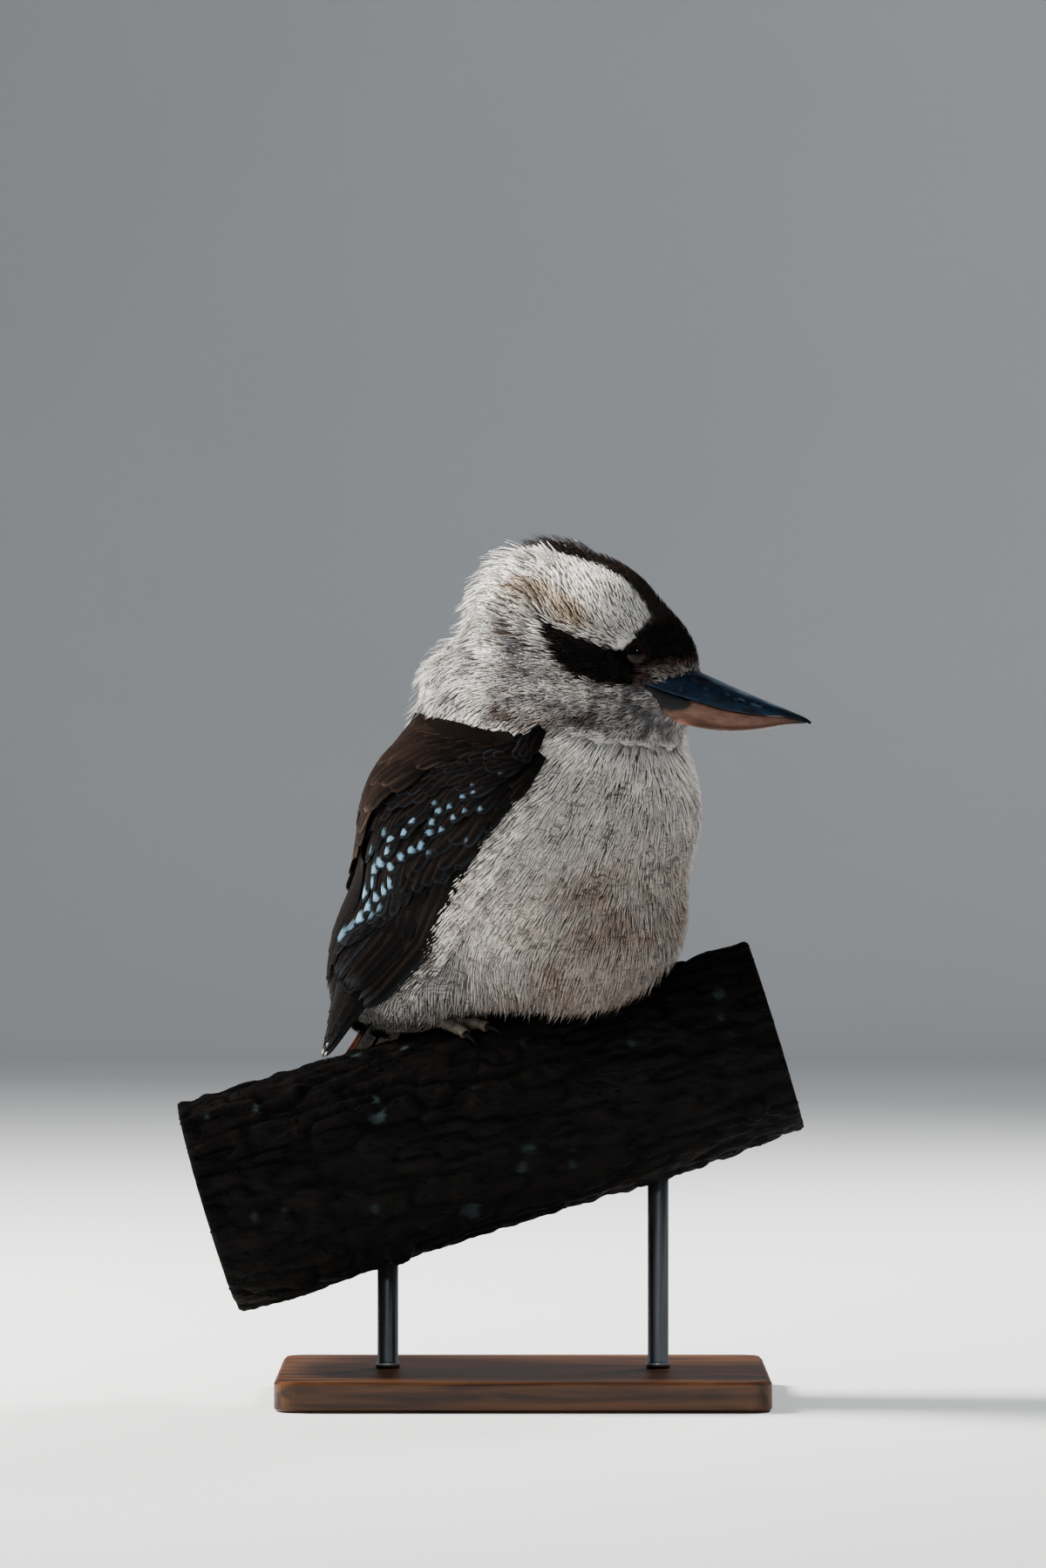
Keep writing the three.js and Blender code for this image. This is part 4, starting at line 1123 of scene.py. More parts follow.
def plumage(name, speck, unevenness, pitch, dullness, bump, gloss, ticked=False):
    material, tree, shader = new_material(name)
    inputs = {"Tone": point_value(tree, "tone"), "Barb": point_value(tree, "barb", "Fac"),
              "Speck Scale": speck, "Unevenness": unevenness, "Barb Pitch": pitch, "Dullness": dullness}
    detail = node(tree, "ShaderNodeGroup", inputs, node_tree=FEATHER_DETAIL)
    seen = detail.outputs["Color"]
    if ticked:
        inputs = {"Tone": seen, "Strength": point_value(tree, "ticks", "Fac")}
        seen = node(tree, "ShaderNodeGroup", inputs, node_tree=WAVY_TICKS).outputs["Color"]
    feed(tree, shader, {
        "Base Color": seen,
        "Roughness": detail.outputs["Roughness"],
        "Normal": bumps(tree, detail.outputs["Height"], bump, 0.0004),
        "Specular IOR Level": gloss,
    })
    return material


PLUMAGE_PALE = plumage("plumage_pale", 700, 0.22, 5.0, 0.85, 0.35, 0.3, ticked=True)
PLUMAGE_SKIN = plumage("plumage_down", 500, 0.3, 5.0, 0.9, 0.5, 0.1, ticked=True)
PLUMAGE_DARK = plumage("plumage_dark", 800, 0.35, 6.0, 0.62, 0.6, 0.12)
PLUMAGE_TAIL = plumage("plumage_tail", 800, 0.3, 6.0, 0.62, 0.5, 0.15)

# The skin of the whole body, with the coat's markings
skin = mesh_piece("body_skin", from_body(skin_inner), skin_faces, barb=skin_points[:, 2],
                  ticks=skin_ticks, tone=skin_tone * 0.8)
bake_map(skin, body_unwrap(skin_points))
dress(skin, PLUMAGE_SKIN, ("head", "neck", "torso"))

for side, word in SIDES:
    wing = make_wing(side, "wing_feathers_" + word)
    dress(wing, PLUMAGE_DARK, ("wing_" + word,))

dress(make_tail(), PLUMAGE_TAIL, ("tail",))


# The bill: closed halves with a fine gap between them
def bill_half(upper):
    end = BILL_TIP if upper else LOWER_TIP
    steps, arc, floor = 84, 33, 7
    x = BILL_BASE + (end - BILL_BASE) * (1 - (1 - np.linspace(0, 1, steps)) ** 1.35)
    mouth = smooth_along(MOUTH, x) + (1 if upper else -1) * MOUTH_GAP / 2
    far = smooth_along(CULMEN, x) if upper else smooth_along(KEEL, x)
    tall = np.maximum(far - mouth, 0.7) if upper else np.minimum(far - mouth, -0.35)
    close = 1.0 if upper else 0.93 * np.sqrt(np.clip((LOWER_TIP + 0.6 - x) / 9, 0.02, 1))
    half = smooth_along(BILL_HALF, x) * close
    a = np.linspace(0, math.pi, arc)
    wide = np.sign(np.cos(a)) * np.abs(np.cos(a)) ** (0.85 if upper else 0.75)
    high = np.sin(a) ** (1.1 if upper else 0.9)
    wide = np.concatenate([wide, np.linspace(-1, 1, floor + 2)[1:-1]])
    high = np.concatenate([high, np.full(floor, 0.02)])
    points = np.stack([
        np.repeat(x, arc + floor),
        (half[:, None] * wide).ravel(),
        (mouth[:, None] + tall[:, None] * high).ravel(),
    ], 1)
    ring = arc + floor
    ridge = np.tile(high, steps)
    # The bill's root lies flush with the face where it is bare
    fair = from_head(points)
    flush = in_head(project(fair, 0.45, 3))
    flush[:, 0] = points[:, 0]
    sunk = ramp(outline(fair), 0.8, -0.4) * ramp(edge_distance(points[:, 0], points[:, 2], BARE), 3.5, 0)
    return mix(points, flush, sunk * ramp(np.abs(points[:, 1]), 1, 6)), ridge, steps, ring


def close_ends(points, faces, steps, ring):
    """Adds a centre to the first and the last ring, and faces to it. All faces become triangles."""
    total = len(points)
    points = np.concatenate([points, [points[:ring].mean(0)], [points[-ring:].mean(0)]])
    quads = np.concatenate([faces[:, [0, 1, 2]], faces[:, [0, 2, 3]]])
    j = np.arange(ring)
    last = (steps - 1) * ring
    first_fan = np.stack([j, np.full(ring, total), (j + 1) % ring], 1)
    last_fan = np.stack([last + j, last + (j + 1) % ring, np.full(ring, total + 1)], 1)
    return points, np.concatenate([quads, first_fan, last_fan])


BILL_BLUE = colour(17, 40, 60)
BILL_BLACK = colour(9, 14, 20)
BILL_RIDGE = colour(92, 108, 118)
HORN = colour(112, 84, 72)
HORN_RED = colour(66, 40, 31)
BILL_PATCH = [(0, -9), (26.5, -12), (28.5, -18.6), (25, -21), (19, -22.8), (13, -22.5), (0, -20)]


def bill_tones(points, ridge, upper):
    x, y, z = points.T
    scratch = noise(np.stack([x / 7, y / 1.2, z / 1.2], 1), 8)
    fine = noise(np.stack([x / 2.5, y / 0.7, z / 0.7], 1), 9)
    if upper:
        tone = np.tile(BILL_BLUE, (len(x), 1))
        tone = over(tone, BILL_BLACK, np.clip(0.45 + 0.55 * scratch + 0.25 * fine, 0, 1))
        worn = ramp(ridge, 0.30, 0.62) * ramp(ridge, 0.97, 0.78) * ramp(x, 20, 34) * ramp(x, 74, 60)
        thin = noise(np.stack([x / 11 + z, y / 0.5, z / 0.45 + x * 0.3], 1), 10)
        tone = over(tone, BILL_RIDGE, worn * ramp(thin + 0.5 * scratch, 0.45, 0.9) * 0.45)
        keel = ramp(ridge, 0.86, 0.99) * ramp(x, 24, 34) * ramp(x, 80, 68)
        tone = over(tone, BILL_RIDGE, keel * np.clip(0.5 + 0.5 * scratch, 0, 0.85))
        tone = over(tone, BILL_BLACK, 0.8 * ramp(x, 66, 78))
        edge = ramp(ridge, 0.12, 0.0) * ramp(x, 34, 46)
        return over(tone, HORN_RED * 0.5, 0.5 * edge)
    tone = over(np.tile(HORN, (len(x), 1)), HORN_RED, np.clip(0.28 + 0.35 * scratch + 0.18 * fine, 0, 1))
    # Painted shade: the lower mandible darkens towards its underside, reddish low on its sides and near
    # black along the bottom
    tone = over(tone, HORN_RED, 0.85 * ramp(ridge, 0.50, 0.86) * ramp(x, 22, 36))
    tone = over(tone, BILL_BLACK, 0.75 * ramp(ridge, 0.93, 1.0) * ramp(x, 30, 42))
    tone = over(tone, HORN_RED * 0.6, 0.55 * ramp(x, 48, 74))
    tone = over(tone, colour(176, 130, 116), 0.7 * ramp(ridge, 0.7, 0.95) * ramp(x, 30, 22))
    patch = ramp(edge_distance(x, z, BILL_PATCH) + 0.6 * scratch, 0.8, -0.8)
    tone = over(tone, colour(10, 17, 24), 0.96 * patch)
    return over(tone, BILL_BLACK, 0.7 * ramp(x, 70, 77))


def horn_detail():
    """Streaks and small scratches along a horn surface."""
    group, given, out = shader_group(
        "HornDetail", {"Tone": MIDDLE_GREY, "Place": (0, 0, 0), "Wear": 0.3, "Polish": 0.35},
        ("Color", "Roughness", "Height"),
    )
    lie = stretched(group, given.outputs["Place"], (0.12, 1.6, 1.6))
    streak = noise_at(group, lie, Scale=1.3, Detail=4)
    centred = math_node(group, "SUBTRACT", streak, 0.5)
    swing = math_node(group, "MULTIPLY", centred, given.outputs["Wear"])
    gain = math_node(group, "MULTIPLY_ADD", swing, 4.0, 1.0)
    feed(group, out, {
        "Color": tone_times(group, given.outputs["Tone"], gain),
        "Roughness": math_node(group, "MULTIPLY_ADD", centred, 0.35, given.outputs["Polish"]),
        "Height": streak,
    })
    return group


HORN_DETAIL = horn_detail()


def horn(name, wear, polish, bump):
    material, tree, shader = new_material(name)
    inputs = {"Tone": point_value(tree, "tone"), "Place": point_value(tree, "place", "Vector"),
              "Wear": wear, "Polish": polish}
    detail = node(tree, "ShaderNodeGroup", inputs, node_tree=HORN_DETAIL)
    feed(tree, shader, {
        "Base Color": detail.outputs["Color"],
        "Roughness": detail.outputs["Roughness"],
        "Normal": bumps(tree, detail.outputs["Height"], bump, 0.0003),
        "Specular IOR Level": 0.25,
    })
    return material


def make_bill(upper, half_name):
    points, ridge, steps, ring = bill_half(upper)
    if upper:
        # The nostril, a slit pressed into the side
        ahead = points[:, 0] - NOSTRIL_AT
        slit = np.exp(-((ahead / 3.8) ** 2) - ((points[:, 2] + 6.6 + 0.14 * ahead) / 0.75) ** 2)
        points[:, 1] -= np.sign(points[:, 1]) * 1.6 * slit
    tone = bill_tones(points, ridge, upper)
    if upper:
        tone = mix(tone, BLACK * 0.6, np.clip(1.3 * slit, 0, 1))
    points, faces = close_ends(points, grid_faces(steps, ring, closed=True), steps, ring)
    tone = np.concatenate([tone, tone[:1], tone[-1:]])
    name = half_name + "_horn"
    piece = face_out(mesh_piece(name, from_body(from_head(points)), faces, place=points, tone=tone))
    dress(piece, horn(name, 0.4 if upper else 0.22, 0.33 if upper else 0.4, 0.6), (half_name,))


make_bill(True, "bill_upper")
make_bill(False, "bill_lower")


# The eyes
def eye_frame(side):
    tilt, rise = math.radians(EYE["forward"]), math.radians(EYE["up"])
    out = unit(np.array([math.sin(tilt), -side * math.cos(tilt), math.sin(rise)]))
    up = unit(np.array([0, 0, 1.0]) - out * out[2])
    ahead = np.cross(up, out) * side
    ahead = ahead * np.sign(ahead[0])
    return np.array([0, -side * EYE["side"], 0.0]), out, up, ahead


def eye_material():
    material, tree, shader = new_material("eye_wet")
    gain = math_node(tree, "MULTIPLY_ADD", noise_at(tree, object_place(tree), Scale=1500), 0.8, 0.6)
    tone = tone_times(tree, point_value(tree, "tone"), gain)
    feed(tree, shader, {"Base Color": tone, "Roughness": 0.05, "Specular IOR Level": 0.2})
    return material


EYE_WET = eye_material()
LID_SKIN = horn("eyelid_skin", 0.25, 0.6, 0.6)
IRIS = colour(30, 19, 14)
# The lids' rings: each one's scale on the opening, and its rise over the ball
LID_RIMS = [
    (0.97, -0.35), (0.98, 0.2), (1.02, 0.62), (1.10, 0.78), (1.20, 0.7), (1.32, 0.5), (1.45, 0.1),
    (1.5, -1.2), (1.2, -1.4),
]
BALL_RINGS = 41
EYE_SIDES = 56


def make_eye(side, word):
    middle, out, up, ahead = eye_frame(side)
    fall = np.linspace(0, math.pi, BALL_RINGS)
    turn = np.linspace(0, 2 * math.pi, EYE_SIDES, endpoint=False)
    f, t = (v.ravel() for v in np.meshgrid(fall, turn, indexing="ij"))
    bulge = EYE["radius"] + 0.35 * np.exp(-((f / 0.5) ** 2))
    local = (out * (np.cos(f) * bulge)[:, None] + ahead * (np.sin(f) * np.cos(t) * bulge)[:, None]
             + up * (np.sin(f) * np.sin(t) * bulge)[:, None])
    dark = np.maximum(ramp(f, 0.42, 0.36), ramp(f, 0.66, 0.76))
    tone = over(np.tile(IRIS, (len(f), 1)), BLACK * 0.3, dark)
    ball = face_out(mesh_piece("eye_ball_" + word, from_body(from_head(middle + local)),
                               grid_faces(BALL_RINGS, EYE_SIDES, closed=True), tone=tone))
    dress(ball, EYE_WET, ("eye_" + word,))
    # The lids: a soft rim round the opening, on the ball and down into the feathers
    rows = []
    for scale, rise in LID_RIMS:
        a = EYE["long"] / 2 * scale * np.cos(turn)
        b = EYE["high"] / 2 * scale * np.sin(turn)
        flat = np.minimum(a * a + b * b, (EYE["radius"] * 0.97) ** 2)
        height = np.sqrt(EYE["radius"] ** 2 - flat) + rise + 0.08 * np.sin(9 * turn) * (scale > 1)
        rows.append(middle + ahead * a[:, None] + up * b[:, None] + out * height[:, None])
    points = np.concatenate(rows)
    faces = grid_faces(len(LID_RIMS), EYE_SIDES, closed=True)
    j = np.arange(EYE_SIDES)
    last = (len(LID_RIMS) - 1) * EYE_SIDES
    closing = np.stack([last + j, last + (j + 1) % EYE_SIDES, (j + 1) % EYE_SIDES, j], 1)
    tone = np.tile(colour(15, 14, 15), (len(points), 1))
    lid = face_out(mesh_piece("eyelids_" + word, from_body(from_head(points)),
                              np.concatenate([faces, closing]), place=points, tone=tone))
    dress(lid, LID_SKIN)


for side, word in SIDES:
    make_eye(side, word)


# The branch's middling radius, and its stubs: place along it, turn round it, height and width
BARK_RADIUS = 47
STUBS = [(-72, 2.6, 5.0, 6.0), (102, 2.2, 4.5, 5.5)]


def bark_relief(s, turn):
    """Plates and furrows that run along the branch, calm where the feet grip."""
    round_it = np.stack([np.cos(turn), np.sin(turn)], 1) * BARK_RADIUS
    where = np.concatenate([s[:, None], round_it], 1)
    furrow = 1 - np.abs(noise(where / np.array([17.0, 5.5, 5.5]), 41)) * 2.2
    flake = noise(where / np.array([6.0, 3.0, 3.0]), 42)
    grain = noise(where / np.array([3.2, 1.4, 1.4]), 43)
    deep = np.clip(furrow, 0, 1) ** 2
    relief = 0.9 * flake + 0.4 * grain - 2.1 * deep + 0.6 * noise(where / np.array([30.0, 14.0, 14.0]), 44)
    feet = np.exp(-(((s - 2) / 46) ** 2) - (turn / 0.75) ** 2)
    relief = relief * (1 - 0.75 * feet) - 0.1
    for at, about, tall, wide in STUBS:
        away = np.hypot(s - at, BARK_RADIUS * (turn - about)) / wide
        stub = tall * ramp(away, 1.25, 0.75) + 0.25 * flake * (away < 1.3) - 2.5 * (away > 1.3)
        relief = np.maximum(relief, stub)
    return relief, deep


def make_perch():
    steps, sides, end_rings = 216, 216, 48
    s = np.linspace(*PERCH_SPAN, steps)
    turn = (np.arange(sides) / sides * 2 * math.pi + math.pi) % (2 * math.pi) - math.pi
    ss, tt = (v.ravel() for v in np.meshgrid(s, turn, indexing="ij"))
    relief, deep = bark_relief(ss, tt)
    edge = np.minimum(ss - PERCH_SPAN[0], PERCH_SPAN[1] - ss)
    relief = relief - 1.1 * ramp(edge, 1.6, 0)
    shell = bark_point(ss, tt, relief)
    places = [shell]
    faces = [grid_faces(steps, sides, closed=True)]
    cut = [np.zeros(len(shell))]
    ring_at = [np.zeros(len(shell))]
    start = len(shell)
    for end, row in ((0, 0), (1, steps - 1)):
        rim = shell[row * sides:(row + 1) * sides]
        centre = rim.mean(0) + PERCH_UP * 3.5 + np.array([0, 2.0, 0])
        shares = np.linspace(1, 0.01, end_rings)
        disc = centre + (rim - centre) * shares[:, None, None]
        aside = np.abs(turn - (2.2 if end else -1.1)) * shares[:, None] * 20
        crack = np.exp(-aside**2) * ramp(shares, 0.1, 0.4)[:, None]
        rough = 0.25 * np.sin(disc[..., 1] * 0.9) * ramp(shares, 1, 0.9)[:, None] - 1.2 * crack
        disc = (disc + PERCH_AXIS * (rough[..., None] * (1 if end else -1))).reshape(-1, 3)
        hub = start + len(disc)
        j = np.arange(sides)
        inner = start + (end_rings - 1) * sides
        hubs = np.full(sides, hub)
        faces.append(grid_faces(end_rings, sides, closed=True) + start)
        faces.append(np.stack([inner + j, inner + (j + 1) % sides, hubs, hubs], 1))
        places += [disc, centre[None]]
        # Inside the crack the end takes the dark bark tone: painted shade in the crack
        cut += [np.repeat(ramp(shares, 0.97, 0.93), sides) * (1 - 0.8 * crack.ravel()), [1.0]]
        away = np.linalg.norm(disc - centre, axis=1)
        ring_at += [away, [0.0]]
        start = hub + 1
    points = np.concatenate(places)
    cut = np.concatenate(cut)
    lichen_spot = noise(points / 11, 51) + 0.5 * noise(points / 4.5, 52)
    lichen = ramp(lichen_spot, 0.78, 1.0) * (1 - cut)
    bark_tone = over(np.tile(colour(29, 26, 24), (len(points), 1)), colour(14, 13, 13),
                     np.clip(0.5 + 0.6 * noise(points / 6, 53), 0, 1))
    deep_all = np.concatenate([deep, np.zeros(len(points) - len(deep))])
    # Painted shade: the furrows darkened almost to black
    bark_tone = over(bark_tone, colour(5, 5, 5), 0.8 * deep_all)
    tone = over(bark_tone, colour(62, 74, 76), 0.55 * lichen)
    rings = np.concatenate(ring_at)
    rings = rings + 1.6 * noise(points / 16, 54) + 0.5 * noise(points / 5, 55)
    width = 0.5 + 0.5 * np.sin(rings * 2.1 + 2.0 * np.sin(rings / 5.5))
    wood = over(np.tile(colour(142, 112, 80), (len(points), 1)), colour(88, 64, 44), 0.75 * width**2)
    wood = over(wood, colour(96, 66, 42), 0.7 * ramp(rings, 19, 13))
    wood = over(wood, colour(60, 42, 30), ramp(rings, 38, 43))
    tone = mix(tone * 0.7, wood, cut)
    faces = np.concatenate(faces)
    return face_out(mesh_piece("perch_bark", points, faces, cut=cut, place=points, tone=tone))


def bark_material():
    material, tree, shader = new_material("bark_rough")
    lie = object_place(tree, Rotation=(0, math.radians(PERCH_SLOPE), 0), Scale=(0.45, 1, 1))
    coarse = noise_at(tree, lie, Scale=260, Detail=6, Roughness=0.65)
    crack = node(tree, "ShaderNodeTexVoronoi", {"Vector": lie, "Scale": 190}, feature="DISTANCE_TO_EDGE")
    height = math_node(tree, "MULTIPLY_ADD", crack.outputs["Distance"], 1.2, coarse)
    gain = math_node(tree, "MULTIPLY_ADD", coarse, 1.8, 0.1)
    feed(tree, shader, {
        "Base Color": tone_times(tree, point_value(tree, "tone"), gain),
        "Roughness": math_node(tree, "MULTIPLY_ADD", coarse, 0.3, 0.68),
        "Normal": bumps(tree, height, 0.9, 0.0012),
        "Specular IOR Level": 0.2,
    })
    return material


# Flakes lie only where the tone's length is less than this, so not on the pale cut ends
DARK_BARK = 0.05
# A flake's proportions, and the least and the most that it is scaled by
FLAKE_SHAPE = (1.0, 0.7, 0.35)
FLAKE_LEAST = (0.4, 0.4, 0.4)
FLAKE_MOST = (1.8, 1.3, 1.2)


def flake_tree(material):
    """Small flat flakes scattered over a surface, sized at random, as one real mesh."""
    tree = bpy.data.node_groups.new("BarkFlakes", "GeometryNodeTree")
    sockets = {}
    for label, kind, value in (("Surface", "NodeSocketGeometry", None), ("Density", "NodeSocketFloat", 1.0),
                               ("Flake Size", "NodeSocketFloat", 0.001), ("Seed", "NodeSocketInt", 0)):
        socket = tree.interface.new_socket(name=label, in_out="INPUT", socket_type=kind)
        if value is not None:
            socket.default_value = value
        sockets[label] = socket.identifier
    tree.interface.new_socket(name="Flakes", in_out="OUTPUT", socket_type="NodeSocketGeometry")
    given = node(tree, "NodeGroupInput")
    out = node(tree, "NodeGroupOutput")
    tone = node(tree, "GeometryNodeInputNamedAttribute", {"Name": "tone"}, data_type="FLOAT_COLOR")
    level = node(tree, "ShaderNodeVectorMath", {0: tone.outputs["Attribute"]}, operation="LENGTH")
    on_bark = node(tree, "FunctionNodeCompare", {"A": level.outputs["Value"], "B": DARK_BARK},
                   operation="LESS_THAN")
    spots = node(tree, "GeometryNodeDistributePointsOnFaces", {
        "Mesh": given.outputs["Surface"], "Selection": on_bark.outputs["Result"],
        "Density": given.outputs["Density"], "Seed": given.outputs["Seed"],
    })
    ball = node(tree, "GeometryNodeMeshIcoSphere",
                {"Subdivisions": 1, "Radius": given.outputs["Flake Size"]})
    flat = node(tree, "GeometryNodeTransform", {"Geometry": ball.outputs["Mesh"], "Scale": FLAKE_SHAPE})
    size = node(tree, "FunctionNodeRandomValue",
                {"Min": FLAKE_LEAST, "Max": FLAKE_MOST, "Seed": given.outputs["Seed"]},
                data_type="FLOAT_VECTOR")
    placed = node(tree, "GeometryNodeInstanceOnPoints", {
        "Points": spots.outputs["Points"], "Instance": flat.outputs["Geometry"],
        "Rotation": spots.outputs["Rotation"], "Scale": size.outputs["Value"],
    })
    real = node(tree, "GeometryNodeRealizeInstances", {"Geometry": placed.outputs["Instances"]})
    painted = node(tree, "GeometryNodeSetMaterial",
                   {"Geometry": real.outputs["Geometry"], "Material": material})
    feed(tree, out, {"Flakes": painted.outputs["Geometry"]})
    return tree, sockets


def scattered_flakes(surface_piece, name, material, density, size, seed):
    tree, sockets = flake_tree(material)
    holder = bpy.data.objects.new(name, surface_piece.data.copy())
    bpy.context.scene.collection.objects.link(holder)
    scatterer = holder.modifiers.new("flakes", "NODES")
    scatterer.node_group = tree
    scatterer[sockets["Density"]] = density
    scatterer[sockets["Flake Size"]] = size
    scatterer[sockets["Seed"]] = seed
    made = bpy.data.meshes.new_from_object(holder.evaluated_get(bpy.context.evaluated_depsgraph_get()))
    holder.modifiers.clear()
    holder.data = made
    holder.data.polygons.foreach_set("use_smooth", np.ones(len(made.polygons), bool))
    return holder


BARK_ROUGH = bark_material()
perch = dress(make_perch(), BARK_ROUGH, ("perch",))
flakes = scattered_flakes(perch, "perch_flakes", BARK_ROUGH, 24000.0, 0.0012, 7)
dress(flakes, BARK_ROUGH)


# The feet
def foot_place(side):
    ground = from_body(np.array([[FOOT_AHEAD, -side * FOOT_SIDE, 0.0]]))[0]
    crest = float(bark_radius(np.array(0.0), np.array(0.0)))
    turn = math.asin(-ground[1] / crest)
    s = (ground[0] - crest * math.cos(turn) * PERCH_UP[0]) / PERCH_AXIS[0]
    return s, turn, math.radians(BODY_YAW + side * TOE_OUT)


def toe_line(place, toe, side, height, start, end, steps):
    s, turn, foot_heading = place
    turn_out, length, set_over = toe
    heading = foot_heading + side * math.radians(turn_out)
    t = np.linspace(0, 1, steps + 1)
    reach_out = start + (end - start) * t
    d = length * reach_out
    ds = d * math.cos(heading) - side * set_over * math.sin(foot_heading)
    arc = d * math.sin(heading) + side * set_over * math.cos(foot_heading)
    knuckles = 0.5 * np.sin(reach_out * 3 * math.pi)
    return bark_point(s + ds, turn + arc / PERCH_RADIUS[1], height(t) + knuckles)


def tube(line, radii, sides, flat=1.0):
    """Rings round a line. The first point of each ring is on its upper side."""
    ahead = unit(np.gradient(line, axis=0))
    across = unit(np.cross(ahead, np.array([0.02, 0.03, 1.0])))
    top = np.cross(across, ahead)
    a = np.arange(sides) / sides * 2 * math.pi
    radii = np.asarray(radii)[:, None, None]
    round_it = top[:, None] * np.cos(a)[:, None] * flat + across[:, None] * np.sin(a)[:, None]
    rings = line[:, None] + radii * round_it
    return rings.reshape(-1, 3), np.tile(a, len(line))


def smooth_line(line, count):
    """More points on a line, curved through the given ones."""
    far = np.concatenate([[0], np.cumsum(np.linalg.norm(np.diff(line, axis=0), axis=1))])
    fine = np.linspace(0, far[-1], count)
    return np.stack([smooth_along(list(zip(far, line[:, k])), fine) for k in range(3)], 1)


def make_foot(side, word):
    place = foot_place(side)
    sets, claw_sets = [], []
    foot = bark_point(np.array(place[0]), np.array(place[1]), np.array(TOE_RADIUS))
    lean = unit(np.array([-7.0, -side * 0.5, TARSUS])) @ BODY_TURN.T
    shank = smooth_line(np.array([foot + lean * d for d in (-0.5, 3, 12, TARSUS)]), 34)
    d = np.linspace(0, 1, 34)
    shank_radii = np.interp(d, [0, 0.15, 0.5, 1], [4.2, 3.7, 3.0, 3.4]) * (1 + 0.035 * np.sin(d * 60))
    sets.append((shank, shank_radii))
    for toe in TOES:
        line = toe_line(place, toe, side, lambda t: np.full(len(t), TOE_RADIUS * 0.82), 0, 1, 12)
        count = int(toe[1] * 2.6)
        line = smooth_line(line, count)
        t = np.linspace(0, 1, count)
        joints = 0.10 * np.cos(t * 6 * math.pi)
        scute = 0.05 * np.abs(np.sin(t * toe[1] * 1.5))
        sets.append((line, TOE_RADIUS * (1.1 - 0.3 * t + joints + scute)))
        start = 1 + 0.2 / toe[1]
        rise = lambda t: TOE_RADIUS * (0.9 + 0.55 * np.sin(t * math.pi) - 0.75 * t)
        claw = smooth_line(toe_line(place, toe, side, rise, start, start + CLAW_LENGTH / toe[1], 6), 16)
        t = np.linspace(0, 1, 16)
        claw_sets.append((claw, 1.5 * np.interp(t, [0, 0.3, 0.6, 0.85, 1], [1.05, 0.9, 0.62, 0.3, 0.05])))
    for kind, bars in (("foot_", sets), ("claws_", claw_sets)):
        points, faces, tones, places, start = [], [], [], [], 0
        for line, radii in bars:
            rings, about = tube(line, radii, TOE_SIDES, 0.92)
            along_it = np.repeat(np.arange(len(line)), TOE_SIDES)
            grid = grid_faces(len(line), TOE_SIDES, closed=True)
            made, closed = close_ends(rings, grid, len(line), TOE_SIDES)
            if kind == "foot_":
                seam = ramp(np.abs(np.sin(along_it * 0.85)), 0.35, 0.0) * ramp(np.cos(about), -0.2, 0.3)
                tone = mix(np.tile(colour(84, 79, 72), (len(rings), 1)), colour(34, 32, 30), 0.8 * seam)
                tone = mix(tone, colour(110, 98, 80), 0.4 * ramp(np.cos(about), 0, -0.8))
            else:
                tone = mix(np.tile(colour(20, 18, 18), (len(rings), 1)), colour(8, 8, 8), along_it / 16)
            points.append(made)
            faces.append(closed + start)
            tones.append(np.concatenate([tone, tone[:1], tone[-1:]]))
            down_it = np.repeat(np.linspace(0, 10, len(line)), TOE_SIDES)
            local = np.stack([down_it, np.sin(about) * 2, np.cos(about) * 2], 1)
            places.append(np.concatenate([local, local[:1], local[-1:]]))
            start += len(made)
        piece = mesh_piece(kind + word, np.concatenate(points), np.concatenate(faces),
                           place=np.concatenate(places), tone=np.concatenate(tones))
        face_out(piece)
        if kind == "foot_":
            dress(piece, FOOT_SKIN, ("leg_" + word,))
        else:
            dress(piece, CLAW_HORN, tuple(f"claw_{word}_{i}" for i in (1, 2, 3, 4)))


FOOT_SKIN = horn("foot_scales", 0.3, 0.62, 0.8)
CLAW_HORN = horn("claw_horn", 0.3, 0.6, 0.3)
for side, word in SIDES:
    make_foot(side, word)


# The coat
def eye_clear(points, scale):
    """True where points are outside both eyes' openings, grown by a scale."""
    head = in_head(points)
    clear = np.ones(len(points), bool)
    for side in (1, -1):
        middle, out, up, ahead = eye_frame(side)
        q = head - middle
        away = np.hypot(q @ ahead / (EYE["long"] / 2), q @ up / (EYE["high"] / 2))
        clear &= (away > scale) | (q @ out < 0)
    return clear


def bill_clear(points):
    """True where points aren't inside the bill's root."""
    x, _, z = in_head(points).T
    return edge_distance(x, z, BARE) > 0


def under_wing(points):
    """True where the folded wing lies over the body."""
    u, angle = wing_frame(points)
    low, high = along(WING_LOW, u), along(WING_HIGH, u)
    return (u > -80) & (u < 60) & (angle > low + 6) & (angle < high - 8)


